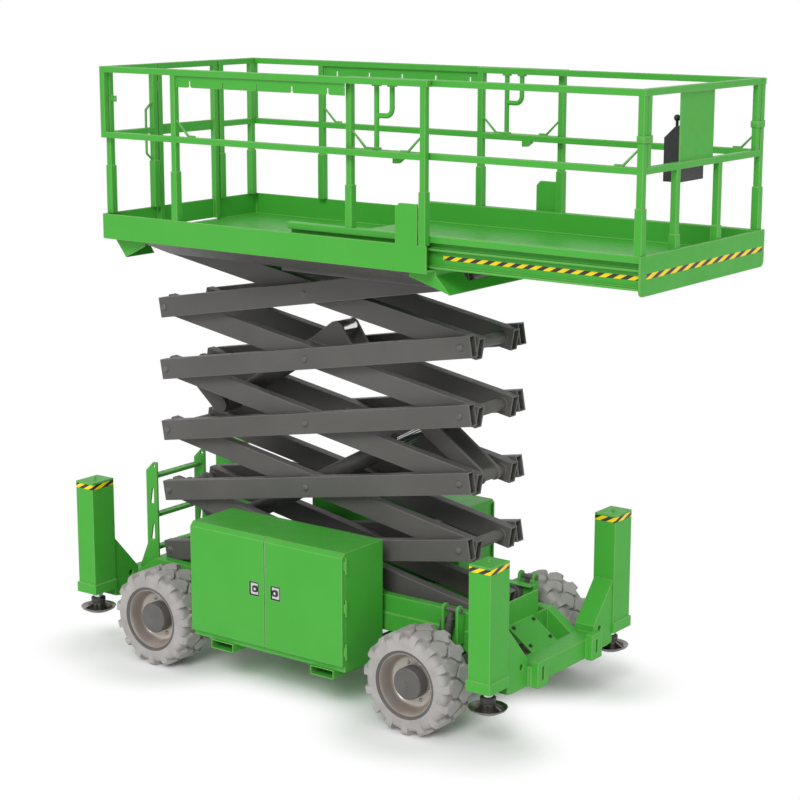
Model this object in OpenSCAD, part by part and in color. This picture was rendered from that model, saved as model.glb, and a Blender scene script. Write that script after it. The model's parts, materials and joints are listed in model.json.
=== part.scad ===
// Rough-terrain scissor lift: wheeled chassis with stabiliser jacks, five-level scissor stack,
// guarded platform with a sliding extension deck. Lengths in millimetres, +Z up, +X towards the
// sliding end of the platform, wheels standing on z = 0.

/* [Scissor stack] */
// Length of an arm between its end pins
arm_len = 2580; // [2300:10:2700]
// Slope of the arms as parked in the photographed pose, degrees
arm_angle = 9.93; // [8:0.01:13]
// Depth of the arm tube
arm_depth = 143; // [110:1:150]
// Width of the arm tube
arm_w = 70; // [50:1:80]
// Wall of the arm tube
arm_wall = 8; // [5:1:12]
// Inner face of the inner arms, from the centre line
lane_in = 165; // [150:1:180]
// Running gap between inner and outer arms
lane_gap = 10; // [6:1:14]
// Arm tube past its left pin
arm_tail_left = 45; // [42:1:60]
// Arm tube past its right pin
arm_tail_right = 80; // [60:1:95]
// Arm tube past the right pin at the very top, where the deck is close
top_tail = 58; // [45:1:60]
// Diameter of the pivot pins
pin_d = 50; // [40:1:60]
// Outer diameter of the bearing tubes
bearing_d = 80; // [72:1:100]
// Radial clearance of a pin in its bearing
pin_gap = 0.3; // [0.2:0.05:0.5]
// Diameter of the domed head of a pin
pin_head_d = 46; // [30:1:60]
// Diameter of a track roller
roller_d = 110; // [90:1:120]
// Width of a track roller
roller_w = 50; // [40:1:55]
// Place of the fixed bottom pivot along the machine
pivot_x = -1262; // [-1290:1:-1240]
// Height of the fixed bottom pivot
pivot_z = 655; // [650:1:700]

/* [Lift cylinders] */
// Outer diameter of a cylinder barrel
barrel_d = 130; // [110:1:140]
// Diameter of a piston rod
rod_d = 80; // [60:1:90]
// Diameter of the eye at a cylinder's end
eye_d = 120; // [110:1:130]
// Diameter of a cylinder pin
cyl_pin_d = 50; // [40:1:60]
// Distance from the centre line to the lever plates
lever_in = 78; // [75:1:90]
// Thickness of a lever plate
lever_t = 20; // [12:1:25]
// Offset of the cylinder pins from the arm's centre line
lever_reach = 200; // [180:1:210]

/* [Wheels and axles] */
// Radius of the tyre over its lugs
wheel_r = 340; // [320:1:350]
// Width of the tyre
tyre_w = 305; // [260:1:320]
// Radius of the rim where the tyre sits
rim_r = 215; // [190:1:230]
// Height of a tread lug
lug_h = 26; // [15:1:35]
// Lugs along one side of a tyre
lug_count = 14; // [10:1:18]
// Room between a chassis rail and the tyre's inner sidewall
wheel_room = 170; // [150:1:190]
// Place of the front axle
front_axle_x = 1255; // [1200:5:1280]
// Place of the rear axle
rear_axle_x = -945; // [-980:5:-930]
// Section of an axle beam
axle_sq = 110; // [90:1:120]
// Diameter of a wheel spindle
spindle_d = 70; // [60:1:80]
// Radius of the hub cap
hub_cap_r = 100; // [80:1:120]

/* [Chassis] */
// Inner face of the chassis rails, from the centre line
rail_in = 325; // [322:1:330]
// Width of a chassis rail
rail_w = 75; // [65:1:80]
// Depth of a chassis rail
rail_h = 120; // [90:1:130]
// Thickness of the track walls
track_t = 10; // [8:1:14]
// Front stabiliser column, place along the machine
front_jack_x = 1807; // [1790:1:1840]
// Rear stabiliser column, place along the machine
rear_jack_x = -1577; // [-1620:1:-1560]
// Distance from the centre line to a stabiliser column's axis
jack_y = 741; // [720:1:750]
// Column section along the machine
column_l = 160; // [140:1:170]
// Column section across the machine
column_w = 210; // [180:1:220]
// Height of the column's top above the ground
column_top = 1222; // [1100:1:1300]
// Height of the column's foot above the ground
column_foot = 405; // [390:1:430]
// Diameter of a jack pad
pad_d = 250; // [200:1:255]
// Height of a raised pad above the ground
pad_z = 250; // [230:1:270]
// Diameter of a jack rod
jack_rod_d = 64; // [50:1:80]
// Cross beam between the jack columns, depth
beam_h = 130; // [110:1:140]
// Underside of the cross beams above the ground
beam_z = 335; // [320:1:345]
// Diameter of the lashing holes in the jack brackets
lash_d = 44; // [30:1:55]

/* [Cabinets] */
// Rear end of the side cabinets
cabinet_x0 = -546; // [-570:1:-530]
// Front end of the side cabinets
cabinet_x1 = 759; // [720:1:770]
// Distance from the centre line to the cabinet's back
cabinet_in = 440; // [430:1:460]
// Height of the cabinet's top above the ground
cabinet_top = 1115; // [1050:1:1160]
// Wall of a cabinet
cabinet_t = 12; // [8:1:16]
// Thickness of a cabinet door
door_t = 30; // [20:1:40]
// Gap round a cabinet door
door_gap = 5; // [5:1:8]
// Fork pocket, inside width
fork_w = 182; // [160:1:200]
// Fork pocket, inside height
fork_h = 50; // [45:1:60]
// Underside of the fork pockets above the ground
fork_z = 246; // [230:1:250]

/* [Platform] */
// Half length of the main platform
deck_half = 1359; // [1340:1:1380]
// Half width of the main platform
deck_y = 800; // [795:1:820]
// Height of the main deck over the top scissor pins
deck_lift = 110; // [105:1:130]
// Thickness of the deck plate
deck_t = 12; // [8:1:16]
// Side face below the deck plate
skirt_h = 20; // [15:1:40]
// Toe board over the deck
toe_h = 150; // [120:1:180]
// Guard rail over the deck
guard_h = 1142; // [1100:1:1180]
// Middle rail over the deck
mid_h = 705; // [600:1:760]
// Square tube of rails and posts
tube = 40; // [34:1:42]
// Square tube of the post sockets
socket = 50; // [46:1:52]
// Top of the post sockets over the deck
socket_h = 475; // [430:1:520]
// Place of the second post along the side
post2_x = -698; // [-740:1:-660]
// Hairline between welded bars
weld_gap = 0.2; // [0.1:0.05:0.3]
// Depth of the notched guide plates under the guard rail
guide_h = 76; // [60:1:90]

/* [Entry gate] */
// Near edge of the gate
gate_y0 = -266; // [-280:1:-250]
// Far edge of the gate
gate_y1 = 354; // [330:1:370]

/* [Extension deck] */
// Rear end of the extension deck
ext_x0 = 230; // [200:1:300]
// Front end of the extension deck
ext_x1 = 2824; // [2780:1:2830]
// Half width over the extension rails
ext_y = 744; // [735:1:745]
// Height of the extension floor over the main deck
ext_lift = 75; // [65:1:90]
// Toe board top of the extension over the main deck
ext_toe_h = 208; // [190:1:220]
// Depth of the end plate below the toe board's top
end_plate_h = 232; // [200:1:240]
// Place of the extension's rear posts
ext_post_x = 720; // [690:1:760]

/* [Hidden] */
$fn = 48;
levels = 5;
// Hairline between a moving piece and its seat
seat_gap = 0.3;
rise = arm_len * sin(arm_angle);
reach = arm_len * cos(arm_angle);
// Level the machine about the middle of its whole length
mid_x = (ext_x1 + rear_jack_x - pad_d / 2) / 2;
lane_out = lane_in + arm_w + lane_gap;
arm_out = lane_out + arm_w;
lane_in_end = lane_in + arm_w;
roller_in = arm_out + lane_gap;
roller_out = roller_in + roller_w;
pin_head_h = 12;
pin_r = pin_d / 2;
bore_r = pin_r + pin_gap;
bearing_r = bearing_d / 2;
roller_r = roller_d / 2;
roller_clear = 2;

axle_z = wheel_r;
rail_out = rail_in + rail_w;
track_half = rail_out + wheel_room + tyre_w;
kingpin_back = 50;
kingpin_y = rail_out + wheel_room - kingpin_back;
wheel_y = track_half - tyre_w / 2;
hub_face = 30;
rim_t = 10;
rim_lip = 12;
spindle_gap = 0.3;
spindle_end = wheel_y + 45;
kingpin_r = 22;
knuckle_r = 46;
yoke_t = 22;
yoke_half = 80;
steer_arm_back = 150;
tie_rod_r = 17;

rail_top = pivot_z - roller_r - seat_gap;
rail_z = rail_top - rail_h;
beam_l = 150;
beam_top = beam_z + beam_h;
beam_past = 93;
front_beam_x1 = front_jack_x + beam_past;
front_beam_x0 = front_beam_x1 - beam_l;
rear_beam_x0 = rear_jack_x - beam_past;
rear_beam_x1 = rear_beam_x0 + beam_l;
column_in = jack_y - column_w / 2;
rod_gap = 0.3;

top_row_z = pivot_z + levels * rise;
floor_z = top_row_z + deck_lift;
deck_under = floor_z - deck_t;
side_under = floor_z - skirt_h;
toe_z = floor_z + toe_h;
guard_z = floor_z + guard_h;
mid_z = floor_z + mid_h;
socket_z = floor_z + socket_h;
side_t = 12;
ext_floor_z = floor_z + ext_lift;
ext_toe_z = floor_z + ext_toe_h;
ext_under = floor_z + 8;
right_x = pivot_x + reach;

green = "#4caf45";
green_side = "#449f3f";
arm_grey = "#5f5d5b";
tyre_grey = "#a8a4a3";
rim_silver = "#b9b2aa";
chrome = "#d8d8da";
dark = "#3a3a3b";

// Block between two corners, each axis given as [low, high]
module block(x, y, z) {
    translate([x[0], y[0], z[0]]) cube([x[1] - x[0], y[1] - y[0], z[1] - z[0]]);
}

// Round bar along Y through the current origin
module bar_y(r, y0, y1) {
    translate([0, y0, 0]) rotate([-90, 0, 0]) cylinder(r = r, h = y1 - y0);
}

// Profile drawn in X and Z, extruded along Y
module slab_y(y0, y1) {
    translate([0, y1, 0]) rotate([90, 0, 0]) linear_extrude(height = y1 - y0) children();
}

// Profile drawn in Y and Z, extruded along X
module slab_x(x0, x1) {
    translate([x0, 0, 0]) rotate([90, 0, 90]) linear_extrude(height = x1 - x0) children();
}

// The same shape on both sides of the centre line
module both_sides() {
    children();
    mirror([0, 1, 0]) children();
}

// Place a shape drawn for the far side (+Y) on the near side when near is true
module on_side(near) {
    mirror([0, near ? 1 : 0, 0]) children();
}

// Everything is drawn about the platform's centre and moved to the middle of the whole length
module placed() {
    translate([-mid_x, 0, 0]) children();
}

function row_z(row) = pivot_z + row * rise;

// Arm-local frames: origin on the left pin, +X along the arm
module outer_place(level) {
    translate([pivot_x, 0, row_z(levels - level)]) rotate([0, -arm_angle, 0]) children();
}
module inner_place(level) {
    translate([pivot_x, 0, row_z(levels + 1 - level)]) rotate([0, arm_angle, 0]) children();
}

// One pair of arm tubes with square-cut open ends
module arm_pair(y0, tail) {
    both_sides() difference() {
        block([-arm_tail_left, arm_len + tail], [y0, y0 + arm_w], [-arm_depth / 2, arm_depth / 2]);
        block([-arm_tail_left - 1, arm_len + tail + 1],
            [y0 + arm_wall, y0 + arm_w - arm_wall],
            [-arm_depth / 2 + arm_wall, arm_depth / 2 - arm_wall]);
    }
}

// Pin with domed heads on the outer faces of the outer arms
module through_pin() {
    bar_y(pin_r, -arm_out, arm_out);
    both_sides() translate([0, arm_out, 0]) rotate([-90, 0, 0])
        cylinder(d1 = pin_head_d, d2 = pin_head_d * 0.7, h = pin_head_h);
}

module outer_arms(level) {
    color(arm_grey) outer_place(level) {
        arm_pair(lane_out, level == 1 ? top_tail : arm_tail_right);
        through_pin();
        translate([arm_len, 0, 0]) through_pin();
        // Short centre pins leave the middle free for the lift cylinders
        translate([arm_len / 2, 0, 0]) difference() {
            through_pin();
            block([-arm_depth, arm_depth], [-lane_in, lane_in], [-arm_depth, arm_depth]);
        }
        if (level == 1) translate([arm_len, 0, 0]) track_rollers();
    }
}

// Rollers outside the outer arms, on their own shaft
module track_rollers() {
    bar_y(pin_r, -roller_out, roller_out);
    both_sides() bar_y(roller_r, roller_in, roller_out);
}

// Lever plates from a bearing tube at local x = from to a cylinder pin at [to, offset]
lever_rim = 12;
module lever_plates(from, to, offset) {
    both_sides() slab_y(lever_in, lever_in + lever_t) difference() {
        hull() {
            translate([from, 0]) circle(d = bearing_d + 2 * lever_rim);
            translate([to, offset]) circle(d = eye_d);
        }
        translate([from, 0]) circle(r = (bore_r + bearing_r) / 2);
    }
}

// Cylinder pin held between lever plates at the arm-local place
module lever_pin(x, z) {
    translate([x, 0, z]) bar_y(cyl_pin_d / 2, -lever_in - lever_t, lever_in + lever_t);
}

module inner_arms(level) {
    bottom = level == levels;
    color(arm_grey) inner_place(level) {
        difference() {
            union() {
                arm_pair(lane_in, arm_tail_right);
                bar_y(bearing_r, -lane_in_end, lane_in_end);
                if (!bottom) translate([arm_len, 0, 0]) bar_y(bearing_r, -lane_in_end, lane_in_end);
                both_sides() translate([arm_len / 2, 0, 0]) bar_y(bearing_r, lane_in, lane_in_end);
            }
            bar_y(bore_r, -arm_out, arm_out);
            if (!bottom) translate([arm_len, 0, 0]) bar_y(bore_r, -arm_out, arm_out);
            translate([arm_len / 2, 0, 0]) bar_y(bore_r, -arm_out, arm_out);
        }
        if (bottom) translate([arm_len, 0, 0]) track_rollers();
        if (level == 5) base_levers();
        if (level == 3) {
            base_levers();
            lever_plates(arm_len, arm_len - eye_back, lever_reach);
        }
        if (level == 2) centre_bracket();
    }
}

// Lift cylinders: the base pin hangs under an inner arm's upper end, and the rod's eye lies
// between lever plates two levels up (lower cylinder) or one level up (upper cylinder)
base_back = 345;
eye_back = 450;
upper_eye_back = 1230;
upper_eye_up = 190;
mouth_room = 200;
rod_room = 32;
gland_l = 60;
eye_w = 2 * lever_in - 12;
bracket_l = 420;
bracket_h = 60;

module base_levers() {
    lever_plates(0, base_back, -lever_reach);
    lever_pin(base_back, -lever_reach);
}

// Cross box between the inner arms with two upright plates round the upper cylinder's eye
module centre_bracket() {
    x = arm_len - upper_eye_back;
    both_sides() slab_y(lever_in, lever_in + lever_t) hull() {
        translate([x, upper_eye_up]) circle(d = eye_d);
        translate([x - bracket_l / 2, 0]) square([bracket_l, bracket_h]);
    }
    both_sides() block(sq(x, bracket_l), [lever_in + lever_t, lane_in], [0, bracket_h]);
}

// Places of the cylinder pins in the machine's frame
function inner_point(level, x, z, angle) = [
    pivot_x + x * cos(angle) + z * sin(angle), 0,
    pivot_z + (levels + 1 - level) * arm_len * sin(angle) - x * sin(angle) + z * cos(angle)];
function lower_base(angle) = inner_point(5, base_back, -lever_reach, angle);
function lower_eye(angle) = inner_point(3, arm_len - eye_back, lever_reach, angle);
function upper_base(angle) = inner_point(3, base_back, -lever_reach, angle);
function upper_eye(angle) = inner_point(2, arm_len - upper_eye_back, upper_eye_up, angle);
// Shortest lengths between the pins, with the stack lowered
stowed_angle = 3.8;
lower_short = norm(lower_eye(stowed_angle) - lower_base(stowed_angle));
upper_short = norm(upper_eye(stowed_angle) - upper_base(stowed_angle));
bore_start = eye_d / 2 + 40;

// Frame along a cylinder: origin on its base pin, +X towards its eye
module along(base, eye) {
    span = eye - base;
    translate(base) rotate([0, -atan2(span[2], span[0]), 0]) children();
}

module barrel(base, eye, short) {
    mouth = short - mouth_room;
    along(base, eye) difference() {
        union() {
            rotate([0, 90, 0]) cylinder(d = barrel_d, h = mouth - gland_l);
            translate([mouth - gland_l, 0, 0]) rotate([0, 90, 0]) cylinder(d = barrel_d + 14, h = gland_l);
            bar_y(eye_d / 2, -eye_w / 2, eye_w / 2);
        }
        bar_y(cyl_pin_d / 2 + pin_gap, -barrel_d, barrel_d);
        translate([bore_start, 0, 0]) rotate([0, 90, 0]) cylinder(d = rod_d + 2 * rod_gap, h = mouth);
    }
}

module rod(base, eye, short) {
    span = norm(eye - base);
    length = short - bore_start - rod_room;
    along(base, eye) difference() {
        union() {
            translate([span - length, 0, 0]) rotate([0, 90, 0]) cylinder(d = rod_d, h = length);
            translate([span, 0, 0]) bar_y(eye_d / 2, -eye_w / 2, eye_w / 2);
        }
        translate([span, 0, 0]) bar_y(cyl_pin_d / 2, -barrel_d, barrel_d);
    }
}

module lower_barrel() { color(dark) barrel(lower_base(arm_angle), lower_eye(arm_angle), lower_short); }
module lower_rod() { color(chrome) rod(lower_base(arm_angle), lower_eye(arm_angle), lower_short); }
module upper_barrel() { color(dark) barrel(upper_base(arm_angle), upper_eye(arm_angle), upper_short); }
module upper_rod() { color(chrome) rod(upper_base(arm_angle), upper_eye(arm_angle), upper_short); }

// Chassis: two rails with roller tracks, drop plates to the jack beams, cross members, pivot lugs
drop_l = 370;
drop_flat = 190;
cross_h = 90;
cross_l = 110;
cross_z = rail_z - 40;
track_x0 = pivot_x + arm_len * cos(60.6) - roller_r - 70;
track_x1 = right_x + roller_r + 85;
track_top = rail_top + roller_d + roller_clear;
lug_t = arm_w;
lug_r = 75;
fork_t = 6;
fork_x = [-290, 575];
fork_end = track_half - 15;
hanger_l = 120;
end_wall_x = front_beam_x0 - 200;
end_wall_h = 160;
end_wall_y = 210;
cover_half = 150;
cover_t = 14;
drop_hole = [86, 491];
drop_hole_r = 20;

// Side plate that drops from a rail's end to a jack beam at x, with the machine on its dir side
module drop_plate(x, dir) {
    slab_y(rail_in, rail_out) difference() {
        polygon([[x, beam_z], [x, beam_top], [x + dir * drop_flat, rail_top], [x + dir * drop_l, rail_top],
            [x + dir * drop_l, rail_z], [x + dir * drop_flat, beam_z]]);
        translate([x + dir * (drop_l - drop_hole[0]), drop_hole[1]]) circle(r = drop_hole_r);
    }
}

module chassis_frame() {
    color(green) {
        both_sides() {
            block([rear_beam_x1 + drop_l, front_beam_x0 - drop_l], [rail_in, rail_out],
                [rail_z, rail_top]);
            drop_plate(front_beam_x0, -1);
            drop_plate(rear_beam_x1, 1);
            // Track wall and its retaining flange over the rollers
            block([track_x0, track_x1], [roller_out + 3, roller_out + 3 + track_t],
                [rail_top, track_top + track_t]);
            block([track_x0, track_x1], [rail_in, roller_out + 3], [track_top, track_top + track_t]);
            // Pivot lugs of the bottom outer arms
            difference() {
                slab_y(lane_in, lane_in_end) hull() {
                    translate([pivot_x, pivot_z]) circle(r = lug_r);
                    translate([pivot_x - lug_r, cross_z]) square([2 * lug_r, cross_h]);
                }
                translate([pivot_x, 0, pivot_z]) bar_y(bore_r, 0, rail_in);
            }
            // Hangers carry the fork pockets under the rails
            for (x = fork_x)
                block([x - hanger_l / 2, x + hanger_l / 2], [rail_in, rail_out],
                    [fork_z + fork_h + 2 * fork_t, rail_z]);
        }
        // Cross members under the arms
        for (x = [pivot_x, (rear_axle_x + front_axle_x) / 2, front_axle_x])
            block([x - cross_l / 2, x + cross_l / 2], [-rail_in, rail_in], [cross_z, cross_z + cross_h]);
        // Front end wall
        block([end_wall_x, end_wall_x + track_t], [-rail_in, rail_in], [cross_z, rail_top]);
        block([end_wall_x, end_wall_x + track_t], [-rail_in, end_wall_y],
            [rail_top, rail_top + end_wall_h]);
        // Sloped cover plate in front of it
        slab_y(-cover_half, cover_half) polygon([[end_wall_x + track_t, rail_top - cover_t],
            [end_wall_x + track_t, rail_top], [front_beam_x0, beam_top],
            [front_beam_x0, beam_top - cover_t]]);
        for (x = fork_x) fork_pocket(x);
    }
}

// Rectangular tube across the machine for fork tines
module fork_pocket(x) {
    difference() {
        block([x - fork_w / 2 - fork_t, x + fork_w / 2 + fork_t], [-fork_end, fork_end],
            [fork_z, fork_z + fork_h + 2 * fork_t]);
        block([x - fork_w / 2, x + fork_w / 2], [-fork_end - 1, fork_end + 1],
            [fork_z + fork_t, fork_z + fork_t + fork_h]);
    }
}

// Jack beams: a cross beam at each end with a sloped bracket up to each column
bracket_in = 400;
gusset_top = 780;
gusset_low = 514;
lash_y = 474;
lash_z = 480;
lug_block = 50;
lug_y = [265, 390];
lug_block_z0 = beam_z - 8;
lug_block_z1 = 500;
slot_w = 28;
slot_h = 70;

module jack_bracket(x) {
    difference() {
        slab_x(x - column_l / 2 + 8, x + column_l / 2 - 8) polygon([
            [bracket_in, beam_z], [bracket_in, gusset_low], [column_in, gusset_top],
            [column_in, column_foot - 60], [column_in - 60, beam_z]]);
        translate([x - column_l, lash_y, lash_z]) rotate([0, 90, 0])
            cylinder(d = lash_d, h = 2 * column_l);
    }
}

// Slotted lug on the outer face of a beam
module tie_lug(x, dir) {
    x0 = min(x, x + dir * lug_block);
    x1 = max(x, x + dir * lug_block);
    yc = (lug_y[0] + lug_y[1]) / 2;
    zc = (lug_block_z0 + lug_block_z1) / 2;
    difference() {
        block([x0, x1], lug_y, [lug_block_z0, lug_block_z1]);
        block([x0 - 1, x1 + 1], [yc - slot_w / 2, yc + slot_w / 2], [zc - slot_h / 2, zc + slot_h / 2]);
        for (z = [zc - slot_h / 2, zc + slot_h / 2]) translate([x0 - 1, yc, z]) rotate([0, 90, 0])
            cylinder(d = slot_w, h = lug_block + 2);
    }
}

module jack_beams() {
    color(green_side) {
        block([front_beam_x0, front_beam_x1], [-bracket_in, bracket_in], [beam_z, beam_top]);
        block([rear_beam_x0, rear_beam_x1], [-bracket_in, bracket_in], [beam_z, beam_top]);
        both_sides() {
            jack_bracket(front_jack_x);
            jack_bracket(rear_jack_x);
            tie_lug(front_beam_x1, 1);
        }
    }
}

// Upright columns, each with a collar round its foot and a blind bore for the jack rod
collar = 10;
collar_h = 70;
module jack_columns() {
    color(green) both_sides() for (x = [rear_jack_x, front_jack_x])
        difference() {
            union() {
                block([x - column_l / 2, x + column_l / 2], [column_in, jack_y + column_w / 2],
                    [column_foot, column_top]);
                block([x - column_l / 2 - collar, x + column_l / 2 + collar],
                    [column_in, jack_y + column_w / 2 + collar], [column_foot, column_foot + collar_h]);
            }
            translate([x, jack_y, column_foot - 1])
                cylinder(d = jack_rod_d + 2 * rod_gap, h = column_top - column_foot - 40);
        }
}

// Foot of a jack: rod, socket and dished pad
pad_rim = 36;
pad_socket_h = 72;
pad_socket_r = 46;
pad_ribs = 6;
rib_t = 12;
module jack_foot(x, near) {
    color(chrome) on_side(near) translate([x, jack_y, pad_z]) {
        rotate_extrude() polygon([[0, 0], [pad_d * 0.3, 0], [pad_d / 2 - 8, pad_rim * 0.62],
            [pad_d / 2, pad_rim],
            [pad_d / 2 - 7, pad_rim], [pad_d * 0.29, 13], [pad_socket_r, 13],
            [pad_socket_r, pad_socket_h - 10],
            [pad_socket_r - 9, pad_socket_h], [jack_rod_d / 2, pad_socket_h],
            [jack_rod_d / 2, column_top - 75 - pad_z], [0, column_top - 75 - pad_z]]);
        for (i = [1 : pad_ribs]) rotate([0, 0, i * 360 / pad_ribs]) slab_y(-rib_t / 2, rib_t / 2) polygon([
            [pad_socket_r - 2, 10], [pad_d * 0.38, 12], [pad_d * 0.42, 24],
            [pad_socket_r - 2, pad_socket_h - 14]]);
    }
}

// Side cabinet (far side): shell open at the front, where two doors close it
cabinet_z0 = fork_z + fork_h + 2 * fork_t;
cabinet_front = track_half - door_t - seat_gap;
sill_h = 40;
door_z0 = cabinet_z0 + sill_h + door_gap;
door_split = 107;
post_w = 30;
chamfer = 30;

// Door hinges: a pin on the cabinet's corner line, the door's barrel between two of the cabinet's
door_barrel_out = 9;
door_barrel_r = 8;
door_pin_r = 4;
door_barrel_l = 56;
door_pin_gap = 0.3;
door_barrel_z = [450, 745, 1030];
seam_y = track_half - door_t;
function door_edge_x(front) = front ? cabinet_x1 : cabinet_x0;
function door_axis_x(front) = front ? cabinet_x1 + door_barrel_out : cabinet_x0 - door_barrel_out;

module door_bar(front, r, z) {
    translate([door_axis_x(front), seam_y, z[0]]) cylinder(r = r, h = z[1] - z[0]);
}

// Barrel with a leaf across the y range y, which is let into the edge that it hangs on
module door_barrel(front, y, z) {
    into = front ? -2 : 2;
    x = [door_axis_x(front), door_edge_x(front) + into];
    door_bar(front, door_barrel_r, z);
    block([min(x), max(x)], y, z);
}

module cabinet_hinge(front, z) {
    door_bar(front, door_pin_r, sq(z, 2 * door_barrel_l));
    for (end = [[z - door_barrel_l, z - door_barrel_l / 2], [z + door_barrel_l / 2, z + door_barrel_l]])
        door_barrel(front, [seam_y - door_barrel_r, cabinet_front], end);
}

module door_hinge(front, z) {
    range = sq(z, door_barrel_l - 2 * door_pin_gap);
    difference() {
        door_barrel(front, [seam_y, seam_y + door_barrel_r], range);
        door_bar(front, door_pin_r + door_pin_gap, sq(z, 2 * door_barrel_l));
    }
}

module cabinet() {
    difference() {
        block([cabinet_x0, cabinet_x1], [cabinet_in, cabinet_front], [cabinet_z0, cabinet_top]);
        for (x = [[cabinet_x0 + cabinet_t, door_split - post_w / 2],
            [door_split + post_w / 2, cabinet_x1 - cabinet_t]])
            block(x, [cabinet_in + cabinet_t, cabinet_front + 1],
                [cabinet_z0 + sill_h, cabinet_top - cabinet_t]);
    }
    for (front = [false, true], z = door_barrel_z)
        cabinet_hinge(front, z);
    // Stays from the chassis rail to the cabinet's back
    for (x = fork_x)
        block([x - hanger_l / 2, x + hanger_l / 2], [rail_out, cabinet_in], [rail_z, rail_top]);
}

module cabinets() {
    color(green) both_sides() cabinet();
}

// Battery blocks on the cabinet floors
pack_gap = 60;
module battery_packs() {
    color(dark) both_sides()
        for (x = [[cabinet_x0 + pack_gap, door_split - pack_gap],
            [door_split + pack_gap, cabinet_x1 - pack_gap]])
            block(x, [cabinet_in + cabinet_t, cabinet_front - pack_gap],
                [cabinet_z0 + sill_h, (cabinet_z0 + cabinet_top) / 2 + 100]);
}

// Door with a chamfered top edge and a shallow pocket for its latch
latch_back = 92;
latch_z = 745;
latch_w = 82;
latch_h = 96;
latch_deep = 10;
module door(front, near) {
    x = front ? [door_split + door_gap, cabinet_x1] : [cabinet_x0, door_split - door_gap];
    latch_x = door_split + (front ? latch_back : -latch_back);
    color(green) on_side(near) {
        difference() {
            slab_x(x[0], x[1]) polygon([
                [seam_y, door_z0], [track_half, door_z0], [track_half, cabinet_top - chamfer],
                [track_half - chamfer, cabinet_top], [seam_y, cabinet_top]]);
            block(sq(latch_x, latch_w), [track_half - latch_deep, track_half + 1], sq(latch_z, latch_h));
        }
        for (z = door_barrel_z)
            door_hinge(front, z);
    }
}

// Access ladder at the rear end, standing on the rear beam's drop plates
ladder_y = 250;
ladder_t = 16;
ladder_w = 105;
ladder_x1 = rear_beam_x1 + 95;
ladder_x0 = ladder_x1 - ladder_w;
ladder_top = 1270;
ladder_knee = beam_top + 95;
ladder_foot = 90;
ladder_lean = 70;
cut_low = 50;
cut_high = 65;
cut_in = [32, 52, 72];
rung_w = 60;
rung_t = 24;
rung_z = [625, 872, 1165];
rung_holes = 7;
eye_in = 30;
module ladder() {
    color(green) {
        both_sides() slab_y(ladder_y, ladder_y + ladder_t) difference() {
            polygon([[ladder_x0, ladder_knee + ladder_foot], [ladder_x0, ladder_top - ladder_lean],
                [ladder_x0 + ladder_lean, ladder_top], [ladder_x1, ladder_top], [ladder_x1, ladder_knee],
                [ladder_x1 + ladder_lean, beam_top], [rear_beam_x1 - ladder_foot, beam_top]]);
            translate([ladder_x1 - eye_in, ladder_top - eye_in]) circle(r = 12);
            for (i = [0, 1]) translate([ladder_x0, (rung_z[i] + rung_z[i + 1]) / 2 - rung_t / 2])
                polygon([[cut_in[0], -cut_low], [cut_in[1], cut_high], [cut_in[2], cut_high],
                    [cut_in[2], -cut_low]]);
        }
        for (z = rung_z) difference() {
            block([ladder_x0 + 10, ladder_x0 + 10 + rung_w], [-ladder_y, ladder_y], [z - rung_t, z]);
            for (i = [1 : rung_holes]) translate([ladder_x0 + 10 + rung_w / 2,
                -ladder_y + i * 2 * ladder_y / (rung_holes + 1), z - rung_t - 1])
                cylinder(r = 11, h = rung_t + 2);
        }
    }
}

// Axles
half_axle = axle_sq / 2;
rear_axle_end = wheel_y - tyre_w / 2 - 25;
module rear_axle() {
    color(dark) {
        block([rear_axle_x - half_axle, rear_axle_x + half_axle], [-rear_axle_end, rear_axle_end],
            [axle_z - half_axle, axle_z + half_axle]);
        both_sides() {
            translate([rear_axle_x, 0, axle_z]) bar_y(spindle_d / 2, rear_axle_end, spindle_end);
            block([rear_axle_x - half_axle, rear_axle_x + half_axle], [rail_in, rail_out],
                [axle_z + half_axle, rail_z]);
        }
    }
}

// Front axle: beam with a yoke at each end for the kingpin, and a centre pivot block
yoke_top = axle_z + yoke_half;
module front_axle() {
    color(dark) {
        block([front_axle_x - half_axle, front_axle_x + half_axle],
            [-kingpin_y + knuckle_r + 12, kingpin_y - knuckle_r - 12],
            [axle_z - half_axle, axle_z + half_axle]);
        block([front_axle_x - half_axle, front_axle_x + half_axle], [-90, 90],
            [axle_z + half_axle, cross_z]);
        both_sides() {
            block([front_axle_x - knuckle_r, front_axle_x + knuckle_r],
                [kingpin_y - knuckle_r - 40, kingpin_y - knuckle_r - 12],
                [axle_z - yoke_half - yoke_t, yoke_top + yoke_t]);
            for (z = [axle_z - yoke_half - yoke_t, yoke_top])
                translate([front_axle_x, kingpin_y, z]) {
                    cylinder(r = knuckle_r, h = yoke_t);
                    block([-knuckle_r, knuckle_r], [-knuckle_r - 12, 0], [0, yoke_t]);
                }
            translate([front_axle_x, kingpin_y, axle_z - yoke_half - yoke_t / 2])
                cylinder(r = kingpin_r, h = 2 * yoke_half + yoke_t);
        }
    }
}

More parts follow.
